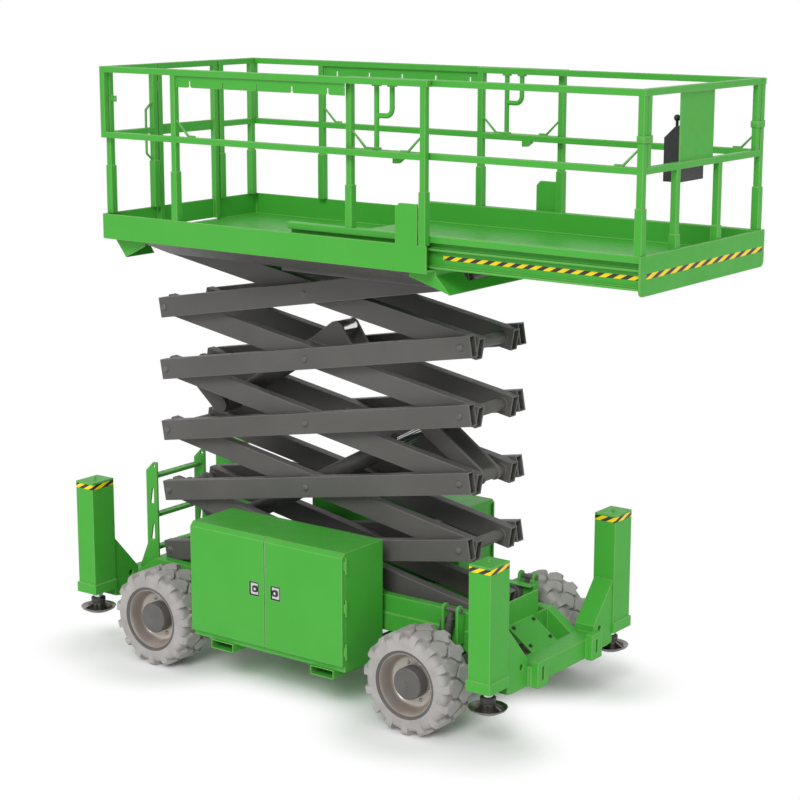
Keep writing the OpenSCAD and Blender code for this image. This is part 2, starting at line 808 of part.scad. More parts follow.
// Steering knuckle (far side): kingpin barrel, spindle and steering arm
knuckle_gap = 2;
arm_t = 24;
arm_z = axle_z - 45;
module knuckle(near) {
    color(dark) on_side(near) difference() {
        union() {
            translate([front_axle_x, kingpin_y, axle_z - yoke_half + knuckle_gap])
                cylinder(r = knuckle_r - 4, h = 2 * (yoke_half - knuckle_gap));
            translate([front_axle_x, 0, axle_z]) bar_y(spindle_d / 2, kingpin_y, spindle_end);
            translate([0, 0, arm_z - arm_t / 2]) linear_extrude(height = arm_t) hull() {
                translate([front_axle_x, kingpin_y]) circle(r = 30);
                translate([front_axle_x - steer_arm_back, kingpin_y]) circle(r = 24);
            }
            translate([front_axle_x - steer_arm_back, kingpin_y, arm_z - arm_t / 2 - 40])
                cylinder(r = 12, h = 40);
        }
        translate([front_axle_x, kingpin_y, 0]) cylinder(r = kingpin_r + pin_gap, h = 2 * axle_z);
    }
}

// Tie rod between the two steering arms, with an eye round each ball stud
tie_z = arm_z - arm_t / 2 - 25;
module tie_rod() {
    color(dark) translate([front_axle_x - steer_arm_back, 0, tie_z]) difference() {
        union() {
            bar_y(tie_rod_r, -kingpin_y, kingpin_y);
            both_sides() translate([0, kingpin_y, -20]) cylinder(r = 27, h = 40);
        }
        both_sides() translate([0, kingpin_y, -30]) cylinder(r = 12 + pin_gap, h = 60);
    }
}

// Oscillation cylinders between the front axle and brackets on the chassis rails
osc_x = front_axle_x + 20;
osc_y = kingpin_y - knuckle_r - 26;
osc_top = 755;
osc_bot = yoke_top + yoke_t + seat_gap;
osc_barrel = 160;
osc_r = 30;
ear_t = 12;
ear_gap = 34;
module oscillation_cylinders() {
    both_sides() {
        color(dark) {
            translate([osc_x, osc_y, osc_bot]) cylinder(r = osc_r, h = osc_barrel);
            translate([osc_x, osc_y, osc_bot + osc_barrel])
                cylinder(r = 20, h = osc_top - osc_bot - osc_barrel);
        }
        color(green) {
            for (x = [osc_x - ear_gap - ear_t, osc_x + ear_gap])
                slab_x(x, x + ear_t) hull() {
                    translate([osc_y, osc_top]) circle(r = 30);
                    translate([rail_out, rail_z]) square([30, 100]);
                }
            translate([osc_x - ear_gap - ear_t / 2, osc_y, osc_top]) rotate([0, 90, 0])
                cylinder(r = 14, h = 2 * ear_gap + ear_t);
        }
    }
}

// Tyre: revolved casing with two staggered rows of slanted lugs
casing_r = wheel_r - lug_h;
shoulder = 34;
bead = 14;
lug_w = 66;
lug_slant = 46;
module casing_profile(r) {
    half = tyre_w / 2;
    polygon([[rim_r, -half + bead], [rim_r + 30, -half], [r - shoulder, -half], [r, -half + shoulder],
        [r, half - shoulder], [r - shoulder, half], [rim_r + 30, half], [rim_r, half - bead]]);
}

module wheel_place(x, near) {
    on_side(near) translate([x, wheel_y, axle_z]) children();
}

module tyre(x, near) {
    color(tyre_grey) wheel_place(x, near) {
        rotate([-90, 0, 0]) rotate_extrude() casing_profile(casing_r);
        intersection() {
            rotate([-90, 0, 0]) rotate_extrude() casing_profile(wheel_r);
            for (i = [0 : lug_count - 1]) {
                rotate([0, i * 360 / lug_count, 0]) lug();
                mirror([0, 1, 0]) rotate([0, (i + 0.5) * 360 / lug_count, 0]) lug();
            }
        }
    }
}

// One lug pointing down from the axle, from past the crown out over the shoulder
module lug() {
    half = tyre_w / 2;
    translate([0, 0, -wheel_r - 1]) linear_extrude(height = lug_h + shoulder + 1) polygon([
        [-lug_w / 2, -10], [lug_w / 2 - 16, -22], [lug_w / 2 + lug_slant, half + 1],
        [-lug_w / 2 + lug_slant + 10, half + 1]]);
}

// Rim: barrel with lips, a deep dish and a hub with its cap
module rim(x, near) {
    half = tyre_w / 2 - bead;
    color(rim_silver) wheel_place(x, near) difference() {
        rotate([-90, 0, 0]) rotate_extrude() polygon([
            [0, -hub_face], [rim_r - rim_t, -hub_face], [rim_r - rim_t, -half], [rim_r, -half],
            [rim_r, half],
            [rim_r - rim_t, half], [rim_r - rim_t - 20, hub_face - 20], [hub_cap_r + 30, hub_face],
            [hub_cap_r, hub_face], [hub_cap_r, half - 40], [hub_cap_r - 12, half - 28], [0, half - 28]]);
        rotate([-90, 0, 0]) translate([0, 0, -tyre_w])
            cylinder(d = spindle_d + 2 * spindle_gap, h = tyre_w + spindle_end - wheel_y + 1);
    }
}

// Main platform: deck plate, side faces, toe boards and the tapered end beams below
apron_y = 700;
apron_in = 430;
apron_h = 140;
apron_t = 12;
apron_run = 110;
apron_knee = 28;
apron_strip = 52;
apron_low = deck_under - apron_h;
apron_tip = deck_half + apron_run;
cheek_left = 290;
cheek_right = 200;
cheek_h = 50;
gate_gap = 12;
shield_x0 = 1125;
shield_x1 = 1290;
shield_h = 400;
module platform_deck() {
    color(green) {
        block([-deck_half, deck_half], [-deck_y, deck_y], [deck_under, floor_z]);
        both_sides() block([-deck_half, deck_half], [deck_y - side_t, deck_y], [side_under, toe_z]);
        for (y = [[-deck_y, gate_y0 - gate_gap], [gate_y1 + gate_gap, deck_y]])
            block([-deck_half, -deck_half + side_t], y, [side_under, toe_z]);
        // Upright plates beside the front posts
        both_sides() slab_y(deck_y - side_t, deck_y) polygon([
            [shield_x0, floor_z], [shield_x0, floor_z + shield_h - chamfer],
            [shield_x0 + chamfer, floor_z + shield_h],
            [shield_x1, floor_z + shield_h], [shield_x1, floor_z]]);
        // Slanted end aprons, with the triangular cheeks that stiffen them
        both_sides() {
            slab_y(apron_in, apron_y) polygon([[-deck_half, deck_under],
                [-deck_half + apron_run, apron_low],
                [-deck_half + apron_run + apron_t, apron_low], [-deck_half + 2 * apron_t, deck_under]]);
            slab_y(apron_y - apron_t, apron_y) {
                polygon([[-deck_half, deck_under], [-deck_half + apron_run, apron_low],
                    [-deck_half + cheek_left, deck_under - cheek_h],
                    [-deck_half + cheek_left, deck_under]]);
                polygon([[deck_half, deck_under], [deck_half, deck_under - apron_knee],
                    [apron_tip, apron_low],
                    [deck_half - cheek_right, deck_under - cheek_h],
                    [deck_half - cheek_right, deck_under]]);
            }
        }
        // Front apron, cut back in the middle to a low strip that clears the arms' ends
        difference() {
            slab_y(-apron_y, apron_y) polygon([[deck_half - apron_t, deck_under], [deck_half, deck_under],
                [deck_half, deck_under - apron_knee], [apron_tip, apron_low],
                [apron_tip - apron_t, apron_low], [deck_half - apron_t, deck_under - apron_knee]]);
            block([deck_half - 2 * apron_t, apron_tip], [-apron_in, apron_in],
                [apron_low + apron_strip, floor_z]);
        }
    }
}

// Subframe under the deck: roller tracks, pivot lugs with their shaft, and cross members
sub_t = 10;
sub_cross_h = 60;
sub_x0 = -deck_half + cheek_left;
sub_x1 = deck_half - cheek_right;
sub_track = [track_x0, track_x1 - 70];
sub_low = top_row_z - roller_r - roller_clear;
sub_lug_y = lane_out + 10;
sub_lug_t = 36;
module platform_subframe() {
    color(arm_grey) {
        both_sides() {
            // Roller track: wall, lower flange and the strip the rollers carry
            block(sub_track, [roller_out + 3, roller_out + 3 + sub_t], [sub_low - sub_t, deck_under]);
            block(sub_track, [roller_in, roller_out + 3], [sub_low - sub_t, sub_low]);
            block(sub_track, [roller_in, roller_out + 3], [top_row_z + roller_r + seat_gap, deck_under]);
            slab_y(sub_lug_y, sub_lug_y + sub_lug_t) hull() {
                translate([pivot_x, top_row_z]) circle(d = bearing_d);
                translate([pivot_x - 60, deck_under - 1]) square([260, 1]);
            }
            slab_x(sub_x0, sub_x1) polygon([[deck_y - side_t, deck_under], [450, deck_under - 130],
                [450 - sub_t, deck_under - 130], [450 - sub_t, deck_under - 118],
                [deck_y - side_t - 30, deck_under]]);
        }
        translate([pivot_x, 0, top_row_z]) bar_y(pin_r, -sub_lug_y - sub_lug_t, sub_lug_y + sub_lug_t);
    }
}

// Guard rails of the main platform, as separate bars that meet at hairline joints
post_y = deck_y - socket / 2;
post_end_x = deck_half - 14;
module bar(x, y, z) {
    block([x[0] + weld_gap, x[1] - weld_gap], [y[0] + weld_gap, y[1] - weld_gap],
        [z[0] + weld_gap, z[1] - weld_gap]);
}
function sq(c, s) = [c - s / 2, c + s / 2];
guide_t = 6;
guide_pitch = 287;
guide_first = 118;
guide_notches = 5;
notch_w = 12;
notch_h = 42;
notch_flare = 14;
stay_t = 12;
stay_run = 96;
stay_foot = 60;
grab_out = 64;
grab_z = [470, 525, 830, 885];
tab_l = 42;

// Guide plate under a top rail, with keyhole notches along its lower edge
module guide_plate(x0, x1, y, z0, z1) {
    slab_y(y - guide_t / 2, y + guide_t / 2) difference() {
        translate([x0, z0]) square([x1 - x0, z1 - z0]);
        for (i = [0 : guide_notches - 1]) translate([x0 + guide_first + i * guide_pitch, z0])
            polygon([[-notch_w - notch_flare, -1], [-notch_w, 2], [-notch_w / 2, notch_flare],
                [-notch_w / 2, notch_h],
                [notch_w / 2, notch_h], [notch_w / 2, notch_flare], [notch_w, 2],
                [notch_w + notch_flare, -1]]);
    }
}

// Bent strip from a rail's top at height z up to a post's face at x, with the rail on its dir side
module corner_stay(x, dir, y, z) {
    slab_y(y - stay_t / 2, y + stay_t / 2) translate([x, z]) scale([dir, 1]) polygon([
        [0, stay_run + stay_t], [0, stay_run], [stay_run, 0], [stay_run + stay_foot, 0],
        [stay_run + stay_foot, stay_t], [stay_run + stay_t / 2, stay_t]]);
}

// Bent grab rod on the near gate post, drawn in Y and Z
module grab_handle(x, y) {
    slab_x(x - stay_t / 2, x + stay_t / 2) translate([y, floor_z]) polygon([
        [0, grab_z[0]], [-grab_out, grab_z[1]], [-grab_out, grab_z[2]], [0, grab_z[3]],
        [0, grab_z[3] - stay_t], [-grab_out + stay_t, grab_z[2] - stay_t / 2],
        [-grab_out + stay_t, grab_z[1] + stay_t / 2], [0, grab_z[0] + stay_t]]);
}

module post(x, y, z0, z1) {
    bar(sq(x, tube), sq(y, tube), [socket_z, z1]);
    bar(sq(x, socket), sq(y, socket), [z0, socket_z]);
}

module platform_guard() {
    tab_z = [floor_z + 905, floor_z + 945];
    rail_y = [post_y - tube / 2, post_y + tube / 2];
    end_y = post_y - tube / 2;
    end_x = -deck_half + socket / 2;
    end_rail = sq(end_x, tube);
    near_gate = gate_y0 - gate_gap;
    far_gate = gate_y1 + gate_gap;
    top = guard_z - tube;
    color(green) {
        both_sides() {
            bar([-deck_half, deck_half], rail_y, [top, guard_z]);
            bar([-deck_half, post2_x - tube / 2], rail_y, [mid_z - tube, mid_z]);
            bar([post2_x + tube / 2, post_end_x - tube], rail_y, [mid_z - tube, mid_z]);
            bar([-deck_half, -deck_half + tube], rail_y, [mid_z, top]);
            for (x = [post2_x, post_end_x - tube / 2]) post(x, post_y, toe_z, top);
            guide_plate(post2_x + tube / 2, ext_post_x, post_y, top - guide_h, top);
            corner_stay(post2_x + tube / 2, 1, post_y, mid_z);
            corner_stay(post_end_x - tube, -1, post_y, mid_z);
            // Corner post of the end frame
            post(end_x, end_y - socket / 2, toe_z, guard_z);
        }
        for (y = [near_gate - socket / 2, far_gate + socket / 2]) post(end_x, y, toe_z, top);
        grab_handle(end_x, near_gate - socket / 2 - tube / 2);
        // Eyed tab on the near corner post
        difference() {
            block([end_x + tube / 2, end_x + tube / 2 + tab_l], sq(-end_y + socket / 2, stay_t), tab_z);
            translate([end_x + tube / 2 + tab_l * 0.6, -end_y + socket / 2, (tab_z[0] + tab_z[1]) / 2])
                bar_y(8, -stay_t, stay_t);
        }
        for (y = [[-end_y + socket / 2 + tube / 2, near_gate], [far_gate, end_y - socket / 2 - tube / 2]])
            bar(end_rail, y, [top, guard_z]);
        for (y = [[-end_y + socket / 2 + tube / 2, near_gate - socket / 2 - tube / 2],
                [far_gate + socket / 2 + tube / 2, end_y - socket / 2 - tube / 2]])
            bar(end_rail, y, [mid_z - tube, mid_z]);
    }
}

// Entry gate: two stiles, top rail, flat middle bar, toe plate and two hinge barrels
hinge_r = gate_gap / 2 - seat_gap;
hinge_l = 70;
hinge_over = [320, 950];
module entry_gate() {
    x = [-deck_half, -deck_half + tube];
    hinge_y = gate_y0 - gate_gap / 2;
    stile = [[gate_y0, gate_y0 + tube], [gate_y1 - tube, gate_y1]];
    color(green) {
        for (y = stile) block(x, y, [floor_z + gate_gap, guard_z - tube]);
        block(x, [gate_y0, gate_y1], [guard_z - tube, guard_z]);
        block([-deck_half + 10, -deck_half + 22], [gate_y0 + tube, gate_y1 - tube],
            [mid_z - 55, mid_z + 15]);
        block([-deck_half, -deck_half + side_t], [gate_y0 + tube, gate_y1 - tube],
            [floor_z + gate_gap, toe_z]);
        for (z = hinge_over) translate([x[1], hinge_y, floor_z + z]) {
            cylinder(r = hinge_r, h = hinge_l);
            block([-hinge_r, 0], [0, gate_gap / 2 + 1], [0, hinge_l]);
        }
    }
}

// Extension deck: floor, side channels with toe boards and the end plate
slide_pad_l = 160;
slide_pad_x = [60, 700];
channel_h = 122;
channel_t = 12;
lip_h = 42;
end_t = 12;
end_over = 25;
end_corner = 40;

// End plate with rounded lower corners, drawn in Y and Z
module end_plate_profile() {
    half = ext_y + end_over;
    low = ext_toe_z - end_plate_h;
    translate([-half, low + end_corner]) square([2 * half, end_plate_h - end_corner]);
    translate([-half + end_corner, low]) square([2 * (half - end_corner), end_corner]);
    for (y = [-half + end_corner, half - end_corner]) translate([y, low + end_corner])
        circle(r = end_corner);
}

module extension_deck() {
    x = [ext_x0, ext_x1 - end_t];
    color(green) {
        block(x, [-ext_y + 50, ext_y - 50], [ext_floor_z - deck_t, ext_floor_z]);
        both_sides() {
            block(x, [ext_y - 50, ext_y - 50 + channel_t], [ext_under, ext_toe_z]);
            for (z = [ext_under, ext_under + channel_h - channel_t])
                block(x, [ext_y - 50, ext_y], [z, z + channel_t]);
            block(x, [ext_y - 50, ext_y], [ext_toe_z - lip_h, ext_toe_z]);
            // Wear pads that slide on the main deck
            for (pad = slide_pad_x)
                block([ext_x0 + pad, ext_x0 + pad + slide_pad_l], [ext_y - 50, ext_y],
                    [floor_z + seat_gap, ext_under]);
        }
        slab_x(ext_x1 - end_t, ext_x1) end_plate_profile();
    }
}

// Guard rails of the extension, inside those of the main platform
end_post_x = ext_x1 - end_t - socket / 2;
end_posts = [-322, 190];
panel_y = [-290, 115];
panel_t = 8;
foot_h = 215;
handle_x = 205;
handle_r = 16;
handle_out = 118;
handle_drop = 190;
handle_bend = 46;
collar_l = 46;
cup_x = 340;
cup_l = 64;
cup_drop = 36;

// Slide-lock handle between the middle and top rails: upright rod, hooked grip and three collars
module lock_handle(x, y, top) {
    low = top - handle_drop;
    translate([x, y, mid_z]) cylinder(r = handle_r, h = top - mid_z);
    translate([x + handle_out, y, low + handle_bend])
        cylinder(r = handle_r, h = handle_drop - handle_bend);
    translate([x + handle_out - handle_bend, y, low + handle_bend]) rotate([90, 0, 0]) rotate([0, 0, -90])
        rotate_extrude(angle = 90) translate([handle_bend, 0]) circle(r = handle_r);
    translate([x, y, low]) rotate([0, 90, 0]) cylinder(r = handle_r, h = handle_out - handle_bend);
    for (at = [[x, mid_z], [x, top - stay_t], [x + handle_out, top - stay_t]])
        block(sq(at[0], collar_l), sq(y, tube), [at[1], at[1] + stay_t]);
}

// Small hook bracket under a middle rail
module cup_bracket(x, y) {
    slab_y(y - tube / 2, y + tube / 2) translate([x, mid_z - tube]) polygon([
        [0, 0], [cup_l, 0], [cup_l, -cup_drop / 3], [cup_l / 2, -cup_drop], [0, -cup_drop]]);
}

module extension_guard() {
    yc = ext_y - socket / 2;
    rail_y = sq(yc, tube);
    top = guard_z - tube;
    end_rail = sq(end_post_x, tube);
    color(green) {
        both_sides() {
            bar([ext_post_x - tube / 2, ext_x1 - end_t], rail_y, [top, guard_z]);
            bar([ext_post_x + tube / 2, end_rail[0]], rail_y, [mid_z - tube, mid_z]);
            for (x = [ext_post_x, end_post_x]) post(x, yc, ext_toe_z, top);
            corner_stay(ext_post_x + tube / 2, 1, yc, mid_z);
            corner_stay(end_rail[0], -1, yc, mid_z);
            lock_handle(ext_post_x + handle_x, yc, top);
            cup_bracket(ext_post_x + cup_x, yc);
        }
        bar(end_rail, [-rail_y[0], rail_y[0]], [top, guard_z]);
        bar(end_rail, [-rail_y[0], rail_y[0]], [mid_z - tube, mid_z]);
        for (y = end_posts) {
            bar(end_rail, sq(y, tube), [ext_floor_z + foot_h, mid_z - tube]);
            bar(sq(end_post_x, socket), sq(y, socket), [ext_floor_z, ext_floor_z + foot_h]);
        }
        // Panel between the end's top and middle rails
        bar(sq(end_post_x, panel_t), panel_y, [mid_z, top]);
    }
}

// Control box on the inside of the panel
box_deep = 110;
box_y = [-240, 45];
box_over = 200;
box_under = 125;
box_slope = 70;
grip_h = 110;
grip_y = -150;
stop_y = -20;
module control_box() {
    back = end_post_x - tube / 2;
    face = mid_z + box_over;
    color(dark) {
        slab_y(box_y[0], box_y[1]) polygon([[back, mid_z - box_under], [back, face],
            [back - box_deep / 3, face], [back - box_deep, face - box_slope],
            [back - box_deep, mid_z - box_under]]);
        translate([back - box_deep * 0.7, grip_y, face - box_slope]) {
            cylinder(r = 9, h = grip_h);
            translate([0, 0, grip_h]) sphere(r = 20);
        }
        translate([back - box_deep * 0.7, stop_y, face - box_slope]) cylinder(r = 20, h = grip_h * 0.75);
    }
}

placed() chassis_frame();
placed() jack_beams();
placed() jack_columns();
placed() cabinets();
placed() battery_packs();
placed() ladder();
placed() rear_axle();
placed() front_axle();
placed() oscillation_cylinders();
placed() door(false, true);  // door_near_rear
placed() door(true, true);  // door_near_front
placed() door(false, false);  // door_far_rear
placed() door(true, false);  // door_far_front
placed() knuckle(true);  // knuckle_near
placed() knuckle(false);  // knuckle_far
placed() tie_rod();
placed() tyre(rear_axle_x, true);  // tyre_rear_near
placed() tyre(rear_axle_x, false);  // tyre_rear_far
placed() tyre(front_axle_x, true);  // tyre_front_near
placed() tyre(front_axle_x, false);  // tyre_front_far
placed() rim(rear_axle_x, true);  // rim_rear_near
placed() rim(rear_axle_x, false);  // rim_rear_far
placed() rim(front_axle_x, true);  // rim_front_near
placed() rim(front_axle_x, false);  // rim_front_far
placed() jack_foot(rear_jack_x, true);  // jack_foot_rear_near
placed() jack_foot(rear_jack_x, false);  // jack_foot_rear_far
placed() jack_foot(front_jack_x, true);  // jack_foot_front_near
placed() jack_foot(front_jack_x, false);  // jack_foot_front_far
for (level = [1 : levels]) {
    placed() outer_arms(level);
    placed() inner_arms(level);
}
placed() lower_barrel();
placed() lower_rod();
placed() upper_barrel();
placed() upper_rod();
placed() platform_deck();
placed() platform_subframe();
placed() platform_guard();
placed() entry_gate();
placed() extension_deck();
placed() extension_guard();
placed() control_box();
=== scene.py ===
# %% [markdown]
# # A rough-terrain scissor lift
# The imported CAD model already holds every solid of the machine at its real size: chassis, jacks, wheels, the stack of
# scissor arms and the guarded platform. This lesson gives those solids their finishes, and adds what a drawing office
# leaves to the workshop: tread, tape, bolts and small fittings.

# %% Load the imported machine
import json
import math

import bpy
from mathutils import Matrix, Vector


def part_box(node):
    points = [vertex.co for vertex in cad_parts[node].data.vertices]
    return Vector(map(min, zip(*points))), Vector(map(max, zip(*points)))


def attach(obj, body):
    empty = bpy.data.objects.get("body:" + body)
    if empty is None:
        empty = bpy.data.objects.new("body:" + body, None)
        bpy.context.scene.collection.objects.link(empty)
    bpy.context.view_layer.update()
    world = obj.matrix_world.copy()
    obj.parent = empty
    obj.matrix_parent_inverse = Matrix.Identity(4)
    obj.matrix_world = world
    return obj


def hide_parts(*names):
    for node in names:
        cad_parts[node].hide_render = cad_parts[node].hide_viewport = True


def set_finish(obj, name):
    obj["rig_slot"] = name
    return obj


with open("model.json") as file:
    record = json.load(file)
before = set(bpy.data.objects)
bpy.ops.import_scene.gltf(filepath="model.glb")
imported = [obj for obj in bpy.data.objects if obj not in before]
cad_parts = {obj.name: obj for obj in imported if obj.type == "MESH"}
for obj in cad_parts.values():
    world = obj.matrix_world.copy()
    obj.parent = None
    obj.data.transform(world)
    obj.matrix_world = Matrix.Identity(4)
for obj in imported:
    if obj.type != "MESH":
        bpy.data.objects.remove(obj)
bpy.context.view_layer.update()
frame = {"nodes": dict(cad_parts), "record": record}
nodes = frame["nodes"]
print("CAD nodes:", len(nodes))

# %% [markdown]
# ## The view
# The photograph was taken from the near front corner, a little above the guard rail, with a long lens. The camera
# below has the focal length, height and heading that make the machine's straight edges fall where the photograph has
# them.

# %% Camera
FOCAL_MM, SENSOR_MM, FAR_CLIP = 90.8, 36.0, 200
CAMERA_PLACE = (7.874, -10.617, 4.821)
HEADING, PITCH, ROLL = 36.54, 12.26, -0.09

camera_data = bpy.data.cameras.new("photo_camera")
camera_data.lens, camera_data.sensor_width = FOCAL_MM, SENSOR_MM
camera_data.clip_end = FAR_CLIP
camera = bpy.data.objects.new("photo_camera", camera_data)
bpy.context.scene.collection.objects.link(camera)
camera.location = CAMERA_PLACE
camera.rotation_euler = (math.radians(90 - PITCH), math.radians(ROLL), math.radians(HEADING))
bpy.context.scene.camera = camera
bpy.context.scene.view_settings.view_transform = "Standard"
print("camera", FOCAL_MM, "mm at", CAMERA_PLACE)

# %% [markdown]
# ## Helpers for materials
# Colours are written as sRGB hex values, the way a paint chart gives them, and Blender wants linear light, so one
# function converts them. Another adds a node, sets its values and links its inputs in one call, which keeps each
# material to a few lines that read like a recipe. The third starts a material.

# %% Colour and node helpers
def linear(hex_colour):
    """An sRGB hex value such as #4CAF45 as linear RGBA."""
    channels = [int(hex_colour[i:i + 2], 16) / 255 for i in (1, 3, 5)]
    return [c / 12.92 if c <= 0.04045 else ((c + 0.055) / 1.055) ** 2.4 for c in channels] + [1.0]


def add(tree, kind, inputs=None, **settings):
    """A new node. An input takes a number, a hex colour, another node (its first output) or a socket."""
    node = tree.nodes.new("ShaderNode" + kind)
    for name, value in settings.items():
        if name == "stops":
            for point, (place, colour) in zip(node.color_ramp.elements, value):
                point.position, point.color = place, linear(colour)
        else:
            setattr(node, name, value)
    for socket, value in (inputs or {}).items():
        if isinstance(value, bpy.types.Node):
            value = value.outputs[0]
        if isinstance(value, bpy.types.NodeSocket):
            tree.links.new(value, node.inputs[socket])
        else:
            node.inputs[socket].default_value = linear(value) if isinstance(value, str) else value
    return node


def new_material(name, **shader_values):
    """A material with its Principled shader, and Object coordinates in metres."""
    material = bpy.data.materials.new(name)
    material.use_nodes = True
    tree = material.node_tree
    shader = tree.nodes["Principled BSDF"]
    for socket, value in shader_values.items():
        shader.inputs[socket.replace("_", " ")].default_value = value
    place = add(tree, "TexCoord").outputs["Object"]
    return material, tree, shader, place


# %% [markdown]
# ## Floor and light
# A catalogue picture has a white sweep with soft shadows under the machine. The floor is a large white plane. Away
# from the body, the wheels and the jack pads the camera sees it as plain white, and near them it keeps the shadow that
# really falls there. The distance is measured in one quarter of the plan, because wheels and pads stand alike in all
# four. A curved backdrop would do as well, but a plane has no bend to hide.

# %% Floor
FLOOR_SIZE, FLOOR_Z, PAPER_MM = 160, -0.001, 900
PLAN_MIDDLE_X, BODY_HALF, SHADOW_REACH = -0.43, (1.05, 0.50, 1.0), 0.42
WHEEL_SPOT, WHEEL_REACH = (1.11, 0.74, 0.0), 0.30
PAD_SPOT, PAD_REACH = (1.69, 0.741, 0.0), 0.12

bpy.ops.mesh.primitive_plane_add(size=FLOOR_SIZE, location=(0, 0, FLOOR_Z))
floor = bpy.context.object
floor.name = "floor"
# Matt white paper: it takes a soft shadow and has no highlight.
floor_material, tree, shader, place = new_material("white_paper_sweep", Roughness=0.9)
grain = add(tree, "TexNoise", {"Vector": place, "Scale": 1000 / PAPER_MM})
paper = add(tree, "ValToRGB", {"Fac": grain}, stops=[(0.3, "#F9F9F9"), (0.7, "#FCFCFC")])
tree.links.new(paper.outputs["Color"], shader.inputs["Base Color"])
centred = add(tree, "VectorMath", {0: place, 1: (-PLAN_MIDDLE_X, 0, 0)}, operation="ADD")
quarter = add(tree, "VectorMath", {0: centred}, operation="ABSOLUTE")
outside = add(tree, "VectorMath", {0: quarter, 1: BODY_HALF}, operation="SUBTRACT")
outside = add(tree, "VectorMath", {0: outside, 1: (0, 0, 0)}, operation="MAXIMUM")
away = add(tree, "VectorMath", {0: outside}, operation="LENGTH").outputs["Value"]
for spot, reach in ((WHEEL_SPOT, WHEEL_REACH), (PAD_SPOT, PAD_REACH)):
    gap = add(tree, "VectorMath", {0: quarter, 1: spot}, operation="DISTANCE").outputs["Value"]
    past = add(tree, "Math", {0: gap, 1: reach}, operation="SUBTRACT")
    away = add(tree, "Math", {0: away, 1: past}, operation="SMOOTH_MIN").outputs[0]
clear = add(tree, "MapRange", {"Value": away, "From Max": SHADOW_REACH}, interpolation_type="SMOOTHSTEP")
seen = add(tree, "Math", {0: clear, 1: add(tree, "LightPath").outputs["Is Camera Ray"]}, operation="MULTIPLY")
glow = add(tree, "Emission", {"Color": "#FFFFFF", "Strength": 1.0})
blend = add(tree, "MixShader", {0: seen, 1: shader, 2: glow})
tree.links.new(blend.outputs[0], tree.nodes["Material Output"].inputs["Surface"])
floor.data.materials.append(floor_material)
print("floor", FLOOR_SIZE, "m, with shadow kept to", SHADOW_REACH, "m")

# %% [markdown]
# The world is an even white dome: it lights every side alike, and shows white to the camera and in reflections. One
# broad lamp on the near side works like a large softbox. It makes the near faces the lightest and leaves the end faces
# darker, as in the photograph.

# %% World and lamp
DOME, KEY = 0.70, 1.45
world = bpy.data.worlds.new("white_dome")
bpy.context.scene.world = world
world.use_nodes = True
tree = world.node_tree
rays = add(tree, "LightPath").outputs
seen = add(tree, "Math", {0: rays["Is Camera Ray"], 1: rays["Is Glossy Ray"]}, operation="MAXIMUM")
seen = add(tree, "Math", {0: seen, 1: rays["Is Transmission Ray"]}, operation="MAXIMUM")
strength = add(tree, "MapRange", {"Value": seen, "To Min": DOME, "To Max": 1.0})
tree.links.new(strength.outputs[0], tree.nodes["Background"].inputs["Strength"])
tree.nodes["Background"].inputs["Color"].default_value = (1, 1, 1, 1)

KEY_TURN, KEY_SOFT = (52, 0, 20.0), 25
lamp = bpy.data.lights.new("key", "SUN")
lamp.energy, lamp.angle = KEY, math.radians(KEY_SOFT)
key = bpy.data.objects.new("key", lamp)
key.rotation_euler = [math.radians(a) for a in KEY_TURN]
bpy.context.scene.collection.objects.link(key)
print("key lamp", KEY_TURN)

# %% [markdown]
# ## Finishes
# The machine is mostly powder-coated steel. Powder is sprayed dry and melts in an oven, so it is even, a little glossy,
# and has a faint orange-peel skin. Along sharp edges a paler colour is painted in as a highlight: the Bevel node
# finds those edges by comparing the rounded normal with the real one. Low down, a thin film of road dust dulls it.

# %% Powder coat, green and grey
CLOUD_MM, BLOT_MM, SMEAR_MM, PEEL_MM = 420, 90, 60, 9
EDGE_REACH, DUST_TOP, DUST_FULL, ROAD_DUST = 0.010, 0.75, 0.1, "#A79F8E"


